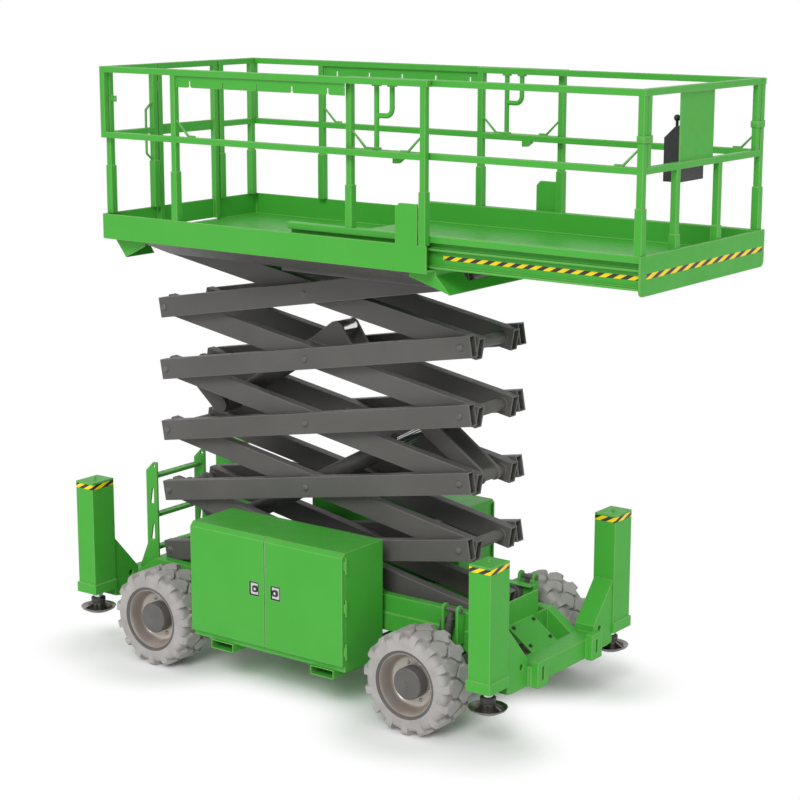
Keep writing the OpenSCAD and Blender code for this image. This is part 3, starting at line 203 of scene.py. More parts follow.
def powder_coat(name, shades, edge, gloss, dust):
    """Baked powder on steel: even colour, painted edge highlights, orange peel of about 3 mm drawn at 9 mm to show."""
    material, tree, shader, place = new_material(name, IOR=1.5, Specular_IOR_Level=0.25)
    cloud = add(tree, "TexNoise", {"Vector": place, "Scale": 1000 / CLOUD_MM, "Detail": 3})
    tone = add(tree, "ValToRGB", {"Fac": cloud}, stops=[(0.3, shades[0]), (0.7, shades[1])])
    rounded = add(tree, "Bevel", {"Radius": EDGE_REACH}, samples=4)
    flat = add(tree, "NewGeometry").outputs["Normal"]
    match = add(tree, "VectorMath", {0: rounded, 1: flat}, operation="DOT_PRODUCT").outputs["Value"]
    # Painted highlight: where the rounded normal parts from the real one, a paler colour is mixed in along the edge.
    rim = add(tree, "MapRange", {"Value": match, "From Min": 0.995, "From Max": 0.88, "To Max": 0.85})
    coat_with_painted_edges = add(tree, "Mix", {"Factor": rim, 6: tone, 7: edge}, data_type="RGBA").outputs[2]
    height = add(tree, "SeparateXYZ", {"Vector": place}).outputs["Z"]
    low = add(tree, "MapRange", {"Value": height, "From Min": DUST_TOP, "From Max": DUST_FULL, "To Max": dust})
    blots = add(tree, "TexNoise", {"Vector": place, "Scale": 1000 / BLOT_MM, "Detail": 5, "Roughness": 0.6})
    patches = add(tree, "MapRange", {"Value": blots, "From Min": 0.3, "From Max": 0.7, "To Min": 0.2})
    film = add(tree, "Math", {0: low, 1: patches}, operation="MULTIPLY")
    dusty = add(tree, "Mix", {"Factor": film, 6: coat_with_painted_edges, 7: ROAD_DUST}, data_type="RGBA").outputs[2]
    smears = add(tree, "TexNoise", {"Vector": place, "Scale": 1000 / SMEAR_MM, "Detail": 4})
    rough = add(tree, "MapRange", {"Value": smears, "From Min": 0.3, "From Max": 0.7, "To Min": gloss - 0.05,
                                   "To Max": gloss + 0.07})
    peel = add(tree, "TexNoise", {"Vector": place, "Scale": 1000 / PEEL_MM, "Detail": 1})
    skin = add(tree, "Bump", {"Height": peel, "Distance": 0.00025, "Strength": 0.35, "Normal": rounded})
    for socket, source in (("Base Color", dusty), ("Roughness", rough.outputs[0]), ("Normal", skin.outputs[0])):
        tree.links.new(source, shader.inputs[socket])
    return material


# Leaf green on chassis, cabinets and platform: an even colour with soft highlights, and paler painted highlights on
# edges.
green_powder = powder_coat("green_powder_coat", ("#44A637", "#49AA3C"), "#92C574", 0.42, 0.05)
# Warm grey on the scissor arms: the same skin and painted edge highlights, a little duller.
grey_powder = powder_coat("grey_powder_coat", ("#575553", "#5F5D5B"), "#8A8886", 0.46, 0.04)
print("powder coats", green_powder.name, grey_powder.name)

# %% [markdown]
# The smaller parts have plainer finishes. They share one recipe, because each is a mottled colour, an uneven gloss and
# a fine skin. What tells them apart is how far each of these goes, so the sizes and the gloss are the settings. A
# recipe for each would be longer and would look no different.

# %% Rubber, cast iron, chrome, rim paint, plastic
def plain_finish(name, shades, blob_mm, rough, skin_mm, skin_depth, **shader_values):
    """A surface with a mottled colour, uneven gloss and a fine skin, whose depth is in millimetres."""
    material, tree, shader, place = new_material(name, **shader_values)
    blots = add(tree, "TexNoise", {"Vector": place, "Scale": 1000 / blob_mm, "Detail": 4, "Roughness": 0.6})
    tone = add(tree, "ValToRGB", {"Fac": blots}, stops=[(0.32, shades[0]), (0.68, shades[1])])
    smears = add(tree, "TexNoise", {"Vector": place, "Scale": 2000 / blob_mm, "Detail": 3})
    gloss = add(tree, "MapRange", {"Value": smears, "From Min": 0.3, "From Max": 0.7, "To Min": rough[0],
                                   "To Max": rough[1]})
    grain = add(tree, "TexNoise", {"Vector": place, "Scale": 1000 / skin_mm})
    skin = add(tree, "Bump", {"Height": grain, "Distance": skin_depth / 1000, "Strength": 0.5})
    for socket, source in (("Base Color", tone), ("Roughness", gloss), ("Normal", skin)):
        tree.links.new(source.outputs[0], shader.inputs[socket])
    return material


# Moulded rubber without carbon black: pale, matt and a little dusty, with hardly a highlight.
pale_rubber = plain_finish("non_marking_rubber", ("#9B9795", "#AFABA9"), 120, (0.72, 0.88), 5, 0.4)
# Sand-cast iron under paint: dark, with small uneven glints from the rough skin.
cast_iron = plain_finish("painted_cast_iron", ("#3C3B3A", "#4A4846"), 60, (0.45, 0.62), 4, 0.4)
# Ground and plated rod: almost a mirror, without visible texture.
hard_chrome = plain_finish("hard_chrome", ("#D6D6D8", "#E2E2E4"), 200, (0.08, 0.16), 12, 0.02, Metallic=1.0)
# Sprayed paint with metal flake: a smooth silver that darkens as it curves away.
rim_paint = plain_finish("silver_rim_paint", ("#B3AAA2", "#BDB4AC"), 140, (0.30, 0.36), 7, 0.01, Metallic=0.65)
# Sprayed enamel over turned steel: dark grey with a soft shine.
dark_steel = plain_finish("dark_grey_enamel", ("#565452", "#615E5C"), 90, (0.40, 0.55), 5, 0.12)
# Moulded ABS with a fine grain from the tool: black, with a broad dull highlight.
black_plastic = plain_finish("black_moulded_abs", ("#1E1E1F", "#29292A"), 40, (0.42, 0.55), 2, 0.2)
# Electroplated zinc: bright, a little cloudy.
zinc = plain_finish("zinc_plated_bolts", ("#A9ABA8", "#BDBFBC"), 30, (0.28, 0.42), 3, 0.05, Metallic=0.9)
# Film with glass beads under a clear skin: paler than what it is stuck on.
reflector = plain_finish("retroreflective_film", ("#9CCB8C", "#B2D9A4"), 25, (0.30, 0.40), 4, 0.1)
# Smooth white vinyl: a clean, even patch.
white_vinyl = plain_finish("white_vinyl", ("#DEDEDC", "#EBEBEA"), 50, (0.35, 0.45), 6, 0.05)
print("plain finishes, from", pale_rubber.name, "to", white_vinyl.name)

# %% [markdown]
# Hazard tape is a printed vinyl strip with slanted black and yellow bars. The bars come from a sum of the coordinates,
# so they run on round a corner and lean the same way on both faces that the photograph shows. The print gives hard
# edges between the bars, and the vinyl a smooth shine.

# %% Hazard tape
BAR_MM, FADE_MM, FILM_MM = (95, 145, -52), 40, 6
hazard_tape, tree, shader, place = new_material("hazard_tape_vinyl", Roughness=0.35, IOR=1.45)
scaled = [1000 / pitch for pitch in BAR_MM]
bars = add(tree, "VectorMath", {0: place, 1: scaled}, operation="DOT_PRODUCT").outputs["Value"]
phase = add(tree, "Math", {0: bars}, operation="FRACT")
band = add(tree, "Math", {0: phase, 1: 0.5}, operation="GREATER_THAN")
sun = add(tree, "TexNoise", {"Vector": place, "Scale": 1000 / FADE_MM, "Detail": 3})
faded = add(tree, "ValToRGB", {"Fac": sun}, stops=[(0.3, "#FAD400"), (0.7, "#FFDC08")])
print_colour = add(tree, "Mix", {"Factor": band, 6: faded, 7: "#37322F"}, data_type="RGBA").outputs[2]
tree.links.new(print_colour, shader.inputs["Base Color"])
film = add(tree, "TexNoise", {"Vector": place, "Scale": 1000 / FILM_MM})
skin = add(tree, "Bump", {"Height": film, "Distance": 0.0001, "Strength": 0.3})
tree.links.new(skin.outputs[0], shader.inputs["Normal"])
print("tape bars", BAR_MM, "mm along x, y and z")

# %% [markdown]
# A jack foot is one turned piece: a chromed rod that slides in the column, and below it a forged pad with ribs. The rod
# mirrors the room and the pad has a duller, blotched skin. The two finishes meet at the top of the pad's socket, so one
# material changes over at that height.

# %% Jack foot steel
PAD_TOP, CHANGE_OVER, FORGE_MM = 0.318, 0.004, 40
jack_steel, tree, shader, place = new_material("jack_foot_steel", Metallic=1.0)
height = add(tree, "SeparateXYZ", {"Vector": place}).outputs["Z"]
is_rod = add(tree, "MapRange", {"Value": height, "From Min": PAD_TOP, "From Max": PAD_TOP + CHANGE_OVER})
blots = add(tree, "TexNoise", {"Vector": place, "Scale": 1000 / FORGE_MM, "Detail": 4})
forged = add(tree, "ValToRGB", {"Fac": blots}, stops=[(0.3, "#7B7775"), (0.7, "#8C8886")])
steel = add(tree, "Mix", {"Factor": is_rod, 6: forged, 7: "#D9D9DA"}, data_type="RGBA").outputs[2]
gloss = add(tree, "MapRange", {"Value": is_rod, "To Min": 0.30, "To Max": 0.10})
skin = add(tree, "Bump", {"Height": blots, "Distance": 0.0002, "Strength": 0.3})
for socket, source in (("Base Color", steel), ("Roughness", gloss.outputs[0]), ("Normal", skin.outputs[0])):
    tree.links.new(source, shader.inputs[socket])
print("pad and rod meet at z", PAD_TOP)

# %% [markdown]
# Every CAD node names the slot that its finish comes from, so a table from slot to material dresses the whole machine
# in one loop. Only the jack feet differ: their slot is chrome, and they take the steel with the forged pad.

# %% Put the finishes on the CAD nodes
FINISH_OF_SLOT = {"green_paint": green_powder, "grey_paint": grey_powder, "tyre_rubber": pale_rubber,
                  "rim_metal": rim_paint, "chrome": hard_chrome, "dark_metal": cast_iron,
                  "dark_plastic": black_plastic}
for part in frame["record"]["subparts"]:
    slots = nodes[part["node"]].data.materials
    slots.clear()
    is_foot = part["node"].startswith("jack_foot")
    slots.append(jack_steel if is_foot else FINISH_OF_SLOT[part["material_slot"]])

# %% [markdown]
# ## Tools for modelling
# Small pieces are modelled as by hand: a primitive is added at its place, faces or edges are picked by where they lie,
# and edit-mode operators shape them. Short helpers cover what every piece needs: start a primitive, pick some of its
# faces or edges, step an end in or out as on a lathe, make a block, join pieces, hand the finished piece to the body
# that carries it, and copy it to another place.

# %% Helpers that start and shape a piece
NEAR, REAR, UP, DOWN = Vector((0, -1, 0)), Vector((-1, 0, 0)), Vector((0, 0, 1)), Vector((0, 0, -1))
LIE_ACROSS, LIE_ALONG = (math.pi / 2, 0, 0), (0, math.pi / 2, 0)


def start(primitive, **settings):
    """A new primitive, alone in the selection, with its place and turn already in its mesh."""
    bpy.ops.object.select_all(action="DESELECT")
    getattr(bpy.ops.mesh, "primitive_" + primitive + "_add")(**settings)
    bpy.ops.object.transform_apply(location=True, rotation=True, scale=True)
    return bpy.context.object


def pick(piece, chosen, part="polygons"):
    """Goes to edit mode with only those faces (or edges) selected whose middle and direction pass the test."""
    bpy.ops.object.mode_set(mode="EDIT")
    bpy.ops.mesh.select_mode(type="FACE" if part == "polygons" else "EDGE")
    bpy.ops.mesh.select_all(action="DESELECT")
    bpy.ops.object.mode_set(mode="OBJECT")
    points = piece.data.vertices
    for item in getattr(piece.data, part):
        ends = [points[i].co for i in item.vertices]
        along = item.normal if part == "polygons" else (ends[1] - ends[0]).normalized()
        item.select = bool(chosen(sum(ends, Vector()) / len(ends), along))
    bpy.ops.object.mode_set(mode="EDIT")


def facing(axis, least=0.9):
    """A test for pick: faces that look along the axis."""
    return lambda middle, normal: normal.dot(axis) > least


def in_line(axis, least=0.9):
    """A test for pick: faces or edges whose direction lies along the axis, either way."""
    return lambda middle, along: abs(along.dot(axis)) > least


def cut_steps(steps, axis):
    """Turns the picked end face like a lathe: each step insets it, then moves it along the axis."""
    for inset, push in steps:
        if inset:
            bpy.ops.mesh.inset(thickness=inset)
        if push:
            bpy.ops.transform.translate(value=Vector(axis) * push)


def squeeze_steps(steps, centre):
    """Turns both picked ends of a wheel part: each step insets them, then brings them nearer to the centre."""
    for inset, squeeze in steps:
        bpy.ops.mesh.inset(thickness=inset)
        bpy.ops.transform.resize(value=(1, squeeze, 1), center_override=centre)


def slab(low, high, edge, segments=2):
    """A block between two corners, with rounded edges."""
    low, high = Vector(low), Vector(high)
    piece = start("cube", size=1, location=(low + high) / 2, scale=high - low)
    pick(piece, lambda middle, along: True, "edges")
    bpy.ops.mesh.bevel(offset=edge, segments=segments)
    bpy.ops.object.mode_set(mode="OBJECT")
    return piece


# %% Helpers that finish, join and copy a piece
WELD = 0.00002
MIRROR_Y = Matrix.Scale(-1, 4, (0, 1, 0))


def hand_over(piece, name, body, slot, material, smooth_deg=35):
    """Closes the active mesh's seams, points its faces outwards, and gives the piece its finish and its body."""
    bpy.ops.object.mode_set(mode="EDIT")
    bpy.ops.mesh.select_all(action="SELECT")
    bpy.ops.mesh.remove_doubles(threshold=WELD)
    bpy.ops.mesh.normals_make_consistent(inside=False)
    bpy.ops.object.mode_set(mode="OBJECT")
    bpy.ops.object.shade_smooth_by_angle(angle=math.radians(smooth_deg))
    piece.name = piece.data.name = name
    piece.data.materials.clear()
    piece.data.materials.append(material)
    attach(piece, body)
    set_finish(piece, slot)
    return piece


def joined(pieces):
    """One object from several; it is the first of them and becomes the active one."""
    bpy.ops.object.select_all(action="DESELECT")
    for piece in pieces:
        piece.select_set(True)
    bpy.context.view_layer.objects.active = pieces[0]
    bpy.ops.object.join()
    return pieces[0]


def copied(piece, name, body, matrix):
    """A copy with its own mesh, moved or mirrored by the matrix; a mirrored mesh is turned right side out."""
    twin = bpy.data.objects.new(name, piece.data.copy())
    bpy.context.scene.collection.objects.link(twin)
    twin.data.transform(matrix)
    if matrix.determinant() < 0:
        twin.data.flip_normals()
    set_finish(twin, piece["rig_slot"])
    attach(twin, body)
    return twin


# %% [markdown]
# ## Wheels
# The tyres are pale non-marking rubber with chunky chevron lugs, on deep-dished rims. One wheel is modelled at the near
# rear place and copied to the other three. The casing starts as a cylinder: its shoulders are bevelled, its ends are
# inset to the bead, and the two bead rings are bridged into the bore. A lathe profile spun round would do as well, but
# the cylinder keeps every ring a clean loop to pick later.

# %% Tyre casing
WHEELS = {"rear_near": -1, "rear_far": 1, "front_near": -1, "front_far": 1}
LUG_HEIGHT, SHOULDER, BEAD_R, BORE_R, BEAD_LIP, AROUND = 0.028, 0.042, 0.228, 0.210, 0.004, 84
low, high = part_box("tyre_rear_near")
hub = (low + high) / 2
TYRE_R, TYRE_W = hub.z, high.y - low.y
CASING_R, CASING_W = TYRE_R - LUG_HEIGHT, TYRE_W - 0.006

casing = start("cylinder", vertices=AROUND, radius=CASING_R, depth=CASING_W, location=hub, rotation=LIE_ACROSS)
pick(casing, lambda middle, along: abs(along.y) < 0.1 and abs(middle.y - hub.y) > TYRE_W * 0.45, "edges")
bpy.ops.mesh.bevel(offset=SHOULDER, segments=6, profile=0.55)
pick(casing, in_line(NEAR, 0.999))
bpy.ops.mesh.inset(thickness=CASING_R - SHOULDER - BEAD_R)
squeeze_steps([(BEAD_LIP, 0.94), (BEAD_R - BORE_R - BEAD_LIP, 0.98)], hub)
bpy.ops.mesh.bridge_edge_loops()
bpy.ops.object.mode_set(mode="OBJECT")
print("casing faces", len(casing.data.polygons))

# %% [markdown]
# A lug is drawn flat first, as its footprint on an unrolled tyre: a broad block at the shoulder with a scooped edge, a
# step, a zigzag flank and a blunt tip past the crown. The outline is extruded with a little draft, its top edges are
# bevelled, and it is cut into strips so that it can bend. Then the block is rolled onto the casing, over the shoulder.

# %% One lug, flat
LUG_ROOT, LUG_END, LUG_DRAFT, LUG_EDGE = CASING_R - 0.042, 0.151, (0.90, 0.985, 1), 0.002
OUTLINE_MM = [(-30, 151), (-31, 114), (-38, 92), (-54, 77), (-72, 70), (-84, 52), (-70, 30), (-48, 12), (-22, -15),
              (4, -16), (22, 0), (46, 28), (40, 52), (54, 71), (40, 90), (31, 114), (30, 151)]
STRIPS_MM = {"x": (-58, -34, -10, 14, 36), "y": (20, 48, 78, 110, 128, 142)}

lug = start("circle", vertices=len(OUTLINE_MM), radius=0.05, fill_type="NGON")
for point, (along, across) in zip(lug.data.vertices, OUTLINE_MM):
    point.co = (along / 1000, across / 1000, LUG_ROOT)
bpy.ops.object.mode_set(mode="EDIT")
bpy.ops.mesh.select_all(action="SELECT")
bpy.ops.mesh.normals_make_consistent(inside=False)
bpy.ops.mesh.extrude_region_move(TRANSFORM_OT_translate={"value": (0, 0, TYRE_R - LUG_ROOT)})
bpy.ops.transform.resize(value=LUG_DRAFT, center_override=(0.0, LUG_END, TYRE_R))
pick(lug, lambda middle, along: middle.z > TYRE_R - 0.001 and middle.y < LUG_END - 0.001, "edges")
bpy.ops.mesh.bevel(offset=LUG_EDGE, segments=1)
for axis, places in STRIPS_MM.items():
    for place in places:
        bpy.ops.mesh.select_all(action="SELECT")
        bpy.ops.mesh.bisect(plane_co=(place / 1000, place / 1000, 0), plane_no=(axis == "x", axis == "y", 0))
bpy.ops.object.mode_set(mode="OBJECT")
print("lug faces", len(lug.data.polygons))

# %% Lugs round the casing
LUGS, SHOULDER_Y, SHOULDER_DROP, SIDE_GAP = 15, 0.118, 0.024, 0.001


def rolled(point, turn, side):
    """A point of the flat lug, on the tyre; past the shoulder it drops towards the sidewall."""
    over = max(0.0, point.y - SHOULDER_Y) / (TYRE_W / 2 - SHOULDER_Y)
    radius = point.z - SHOULDER_DROP * over * over
    angle = point.x / TYRE_R + turn
    across = side * min(point.y, TYRE_W / 2 - SIDE_GAP)
    return hub + Vector((radius * math.sin(angle), across, -radius * math.cos(angle)))


tread = [casing]
for side in (-1, 1):
    for i in range(LUGS):
        turn = (i + (0.5 if side > 0 else 0.0)) * 2 * math.pi / LUGS
        block = bpy.data.objects.new("lug", lug.data.copy())
        bpy.context.scene.collection.objects.link(block)
        for point in block.data.vertices:
            point.co = rolled(point.co, turn, side)
        tread.append(block)
bpy.data.objects.remove(lug)
tyre = hand_over(joined(tread), "tyre_piece_rear_near", "wheel_rear_near", "tyre_rubber", pale_rubber, 24)
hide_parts("tyre_rear_near")
print("tyre faces", len(tyre.data.polygons))

# %% [markdown]
# The rim is a steel barrel with a pressed dish: turned here from a cylinder whose outer end is inset and pushed in,
# step by step, as on a lathe. The inset keeps each ring round, and the steps are the dish seen in the photograph: a
# thin lip, a curved wall, a bright ring, and the disc behind the hub.

# %% Rim
RIM_R, RIM_FACE = 0.2075, TYRE_W / 2 - 0.013
DISH = [(0.002, 0.001), (0.003, 0.0), (0.002, -0.004), (0.005, -0.016), (0.007, -0.022), (0.006, -0.020),
        (0.006, -0.016), (0.008, -0.012), (0.010, -0.007), (0.014, -0.003), (0.022, 0.0)]
BACK = [(0.006, -0.004), (0.006, -0.110), (0.050, -0.010)]
rim = start("cylinder", vertices=AROUND, radius=RIM_R, depth=2 * RIM_FACE, location=hub, rotation=LIE_ACROSS)
for outward, steps in ((NEAR, DISH), (-NEAR, BACK)):
    pick(rim, facing(outward))
    cut_steps(steps, outward)
disc_depth = RIM_FACE + sum(push for _, push in DISH)
rim = hand_over(rim, "rim_piece_rear_near", "wheel_rear_near", "rim_metal", rim_paint, 30)
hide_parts("rim_rear_near")
print("dish depth", round(1000 * (RIM_FACE - disc_depth)), "mm")

# %% [markdown]
# Between tyre and rim a dark steel ring clamps the bead, and a dark cap covers the hub. Both are turned from a cylinder
# in the same way, because a lathe is how they would be made.

# %% Bead ring and hub cap
RING_R, RING_W, RING_FACE_W = BEAD_R - 0.0005, 0.022, 0.013
RING_MID = hub + NEAR * (TYRE_W / 2 - 0.015)
ring = start("cylinder", vertices=AROUND, radius=RING_R, depth=RING_W, location=RING_MID, rotation=LIE_ACROSS)
pick(ring, in_line(NEAR, 0.999))
squeeze_steps([(0.003, 0.80), (0.004, 1.0), (0.0015, 0.7), (0.0045, 1.0)], RING_MID)
bpy.ops.mesh.inset(thickness=RING_R - RING_FACE_W - RIM_R - 0.0003)
bpy.ops.mesh.bridge_edge_loops()
hand_over(ring, "bead_ring_rear_near", "wheel_rear_near", "dark_metal", dark_steel, 30)

CAP_R, CAP_FACE, CAP_ROOT = 0.106, TYRE_W / 2 - 0.030, 0.01
cap = start("cylinder", vertices=64, radius=CAP_R, depth=CAP_FACE - disc_depth + CAP_ROOT,
            location=hub + NEAR * (CAP_FACE + disc_depth - CAP_ROOT) / 2, rotation=LIE_ACROSS)
pick(cap, facing(NEAR))
bpy.ops.mesh.bevel(offset=0.009, segments=4)
pick(cap, facing(NEAR, 0.99))
cut_steps([(0.020, 0.001), (0.058, 0.0), (0.002, -0.002), (0.006, -0.001)], NEAR)
hand_over(cap, "hub_cap_rear_near", "wheel_rear_near", "dark_metal", dark_steel, 35)
print("bead ring radius", round(RING_R, 4), "and cap radius", CAP_R)

# %% [markdown]
# Eight nuts sit round the cap. A nut is a six-sided cylinder with its outer edges bevelled, a washer face under it and
# a stud through it. The same function makes the plain bolt heads of the front cover later on.

# %% Hexagon heads and wheel nuts
WASHER_T = 0.0015


def hex_bolt(name, place, axis, across, body, slot, material, stud=0.0):
    """A bevelled hexagon head with a turned washer face, and a stud through it where stud is given."""
    turn = axis.to_track_quat("Z", "Y").to_euler()
    height = across * 0.42
    head = start("cylinder", vertices=6, radius=across / math.sqrt(3), depth=height,
                 location=place + axis * height / 2, rotation=turn)
    pick(head, facing(axis))
    bpy.ops.mesh.bevel(offset=across * 0.06, segments=2)
    pick(head, facing(axis, 0.99))
    if stud:
        bpy.ops.mesh.inset(thickness=across * 0.22)
        bpy.ops.mesh.extrude_region_move(TRANSFORM_OT_translate={"value": axis * stud})
        bpy.ops.mesh.inset(thickness=across * 0.03)
    else:
        cut_steps([(across * 0.12, -height * 0.04)], axis)
    pick(head, facing(-axis))
    bpy.ops.mesh.extrude_region_move(TRANSFORM_OT_translate={"value": -axis * WASHER_T})
    bpy.ops.transform.resize(value=[1.25 - 0.25 * abs(c) for c in axis], center_override=place)
    bpy.ops.mesh.extrude_region_move(TRANSFORM_OT_translate={"value": -axis * WASHER_T})
    return hand_over(head, name, body, slot, material, 30)


NUTS, NUT_RING, NUT_ACROSS, NUT_LIFT, STUD_OUT = 8, 0.128, 0.024, 0.001, 0.008
nuts = []
for i in range(NUTS):
    angle = (i + 0.5) * 2 * math.pi / NUTS
    place = hub + NEAR * (disc_depth + NUT_LIFT) + Vector((math.cos(angle), 0, math.sin(angle))) * NUT_RING
    nuts.append(hex_bolt("nut", place, NEAR, NUT_ACROSS, "wheel_rear_near", "chrome", zinc, stud=STUD_OUT))
joined(nuts).name = "wheel_nuts_rear_near"
print("wheel nuts", NUTS, "on a ring of radius", NUT_RING)

# %% [markdown]
# All four wheels are alike. A far wheel is the mirror image of a near one, so its chevrons point the right way when it
# rolls. Copies are moved in their meshes, because a finished piece's object stays at the origin.

# %% Copy the wheel to the other three places
WHEEL_PIECES = ("tyre_piece", "rim_piece", "bead_ring", "hub_cap", "wheel_nuts")
made = [bpy.data.objects[name + "_rear_near"] for name in WHEEL_PIECES]
for wheel, side in WHEELS.items():
    if wheel == "rear_near":
        continue
    low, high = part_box("tyre_" + wheel)
    shift = Matrix.Translation(((low.x + high.x) / 2 - hub.x, 0, 0))
    for piece in made:
        name = piece.name.replace("rear_near", wheel)
        twin = copied(piece, name, "wheel_" + wheel, shift @ (MIRROR_Y if side > 0 else Matrix()))
        for kind in ("tyre", "rim"):
            if name.startswith(kind):
                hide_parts(kind + "_" + wheel)
print("wheels", len(WHEELS), "with", len(made), "pieces each")

# %% [markdown]
# ## Hazard bands
# Each outrigger column carries a wrapped band of hazard tape just below its top. A band is a thin sleeve: a block round
# the column whose two ends are inset and bridged, as tape leaves no end caps. Yellow and black on the column's own
# material would do from afar, but would have no edge.

# %% Bands on the columns
COLUMN_RIM, COLUMN_L, COLUMN_W = 0.010, 0.160, 0.210
BAND_H, BAND_DOWN, TAPE_T = 0.034, 0.014, 0.0006
low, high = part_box("jack_columns")
column_top = high.z
column_x = {"rear": low.x + COLUMN_RIM + COLUMN_L / 2, "front": high.x - COLUMN_RIM - COLUMN_L / 2}
column_y = -(high.y - COLUMN_RIM - COLUMN_W / 2)
for end, x in column_x.items():
    middle = Vector((x, column_y, column_top - BAND_DOWN - BAND_H / 2))
    size = Vector((COLUMN_L + 2 * TAPE_T, COLUMN_W + 2 * TAPE_T, BAND_H))
    band = start("cube", size=1, location=middle, scale=size)
    pick(band, in_line(UP), "edges")
    bpy.ops.mesh.bevel(offset=0.002, segments=2)
    pick(band, in_line(UP))
    bpy.ops.mesh.inset(thickness=TAPE_T * 1.5)
    bpy.ops.mesh.bridge_edge_loops()
    hand_over(band, "column_band_" + end + "_near", "chassis", "dark_plastic", hazard_tape)
    copied(band, "column_band_" + end + "_far", "chassis", MIRROR_Y)
print("bands round columns at x", [round(x, 3) for x in column_x.values()])

# %% [markdown]
# A small lifting stud stands on each column's top. It is a short cylinder, narrowed at the neck and rounded at the
# head, turned in three steps from one disc.

# %% Studs on the columns
STUD_R, STUD_FOOT_H, STUD_SINK = 0.011, 0.008, 0.002
STUD_STEPS = [(0.003, 0.0), (0.0005, 0.012), (0.002, 0.003)]
for end, x in column_x.items():
    foot = Vector((x, column_y, column_top - STUD_SINK))
    stud = start("cylinder", vertices=24, radius=STUD_R, depth=STUD_FOOT_H, location=foot + UP * (STUD_FOOT_H / 2))
    pick(stud, facing(UP))
    cut_steps(STUD_STEPS, UP)
    hand_over(stud, "column_stud_" + end + "_near", "chassis", "green_paint", green_powder)
    copied(stud, "column_stud_" + end + "_far", "chassis", MIRROR_Y)
print("stud radius", STUD_R)

# %% [markdown]
# Straight strips of the same tape run along the sliding platform and across its end, where a person could walk into
# it. A strip is a very thin block, sunk a little into the steel so that no gap shows below it.

# %% Strips on the sliding platform
CHANNEL_Y, STRIP_X, STRIP_Z, STRIP_SINK = 0.706, (0.86, 2.225), (3.052, 3.078), 0.0004
END_STRIP_Y, END_STRIP_Z, END_SINK, END_PROUD = (-0.695, 0.743), (3.062, 3.094), 0.0005, 0.0002
low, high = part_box("extension_deck")
strip = slab((STRIP_X[0], -CHANNEL_Y - TAPE_T, STRIP_Z[0]),
             (STRIP_X[1], -CHANNEL_Y + STRIP_SINK, STRIP_Z[1]), 0.0004, 1)
hand_over(strip, "channel_strip_near", "extension", "dark_plastic", hazard_tape)
copied(strip, "channel_strip_far", "extension", MIRROR_Y)
strip = slab((high.x - END_SINK, END_STRIP_Y[0], END_STRIP_Z[0]),
             (high.x + END_PROUD, END_STRIP_Y[1], END_STRIP_Z[1]), 0.0002, 1)
hand_over(strip, "end_strip", "extension", "dark_plastic", hazard_tape)
print("channel strips", round(STRIP_X[1] - STRIP_X[0], 3), "m long")

# %% [markdown]
# ## Door latches
# Each cabinet door has a flush paddle latch in a pocket: a black moulded frame, a bright plate, and a square black knob
# with a lock barrel in it. The frame is a block whose face is inset and pushed in. The knob stands on the plate, still
# behind the door's face. All four are kept apart, because each has its own finish.

# %% Latches
DOOR_FACE, LATCH_Z, LATCH_W, LATCH_H, LATCH_BACK, LATCH_GAP = -0.875, 0.745, 0.082, 0.096, 0.092, 0.0005
FRAME_IN, FRAME_T, PLATE_IN, PLATE_T, PLATE_MARGIN = 0.0054, 0.0092, 0.0056, 0.002, 0.019
KNOB_IN, KNOB_T, KNOB_SIZE, KNOB_ASIDE = 0.0035, 0.0056, 0.044, 0.006
LOCK_IN, LOCK_T, LOCK_R = 0.0032, 0.0052, 0.0095
split_x = (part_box("door_near_rear")[1].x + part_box("door_near_front")[0].x) / 2
for end, side in (("rear", -1), ("front", 1)):
    place = Vector((split_x + side * LATCH_BACK, DOOR_FACE, LATCH_Z))
    half = Vector((LATCH_W / 2 - LATCH_GAP, 0, LATCH_H / 2 - LATCH_GAP))
    border = start("cube", size=1, location=place - NEAR * FRAME_IN, scale=(2 * half.x, FRAME_T, 2 * half.z))
    pick(border, in_line(NEAR), "edges")
    bpy.ops.mesh.bevel(offset=0.006, segments=3)
    pick(border, facing(NEAR))
    cut_steps([(0.0015, -0.0006), (0.006, 0.0), (0.0015, -0.005)], NEAR)
    bpy.ops.object.mode_set(mode="OBJECT")
    plate = start("cube", size=1, location=place - NEAR * PLATE_IN,
                  scale=(half.x * 2 - PLATE_MARGIN, PLATE_T, half.z * 2 - PLATE_MARGIN))
    pick(plate, facing(NEAR))
    cut_steps([(0.004, 0.0), (0.002, -0.0008)], NEAR)
    bpy.ops.object.mode_set(mode="OBJECT")
    middle = place + Vector((-side * KNOB_ASIDE, 0, 0))
    knob = start("cube", size=1, location=middle - NEAR * KNOB_IN, scale=(KNOB_SIZE, KNOB_T, KNOB_SIZE))
    pick(knob, in_line(NEAR), "edges")
    bpy.ops.mesh.bevel(offset=0.011, segments=5)
    pick(knob, facing(NEAR))
    cut_steps([(0.0015, -0.0004), (0.010, 0.0), (0.001, -0.0012)], NEAR)
    bpy.ops.object.mode_set(mode="OBJECT")
    lock = start("cylinder", vertices=32, radius=LOCK_R, depth=LOCK_T, location=middle - NEAR * LOCK_IN,
                 rotation=LIE_ACROSS)
    pick(lock, facing(NEAR))
    cut_steps([(0.001, -0.0004), (0.003, 0.0), (0.0006, -0.0006)], NEAR)
    bpy.ops.object.mode_set(mode="OBJECT")
    for piece, name, slot, finish in ((border, "latch_frame", "dark_plastic", black_plastic),
                                      (plate, "latch_plate", "chrome", hard_chrome),
                                      (knob, "latch_knob", "dark_plastic", black_plastic),
                                      (lock, "latch_barrel", "chrome", hard_chrome)):
        hand_over(piece, name + "_near_" + end, "door_near_" + end, slot, finish)
        copied(piece, name + "_far_" + end, "door_far_" + end, MIRROR_Y)
print("latches beside the split at x", round(split_x, 3))

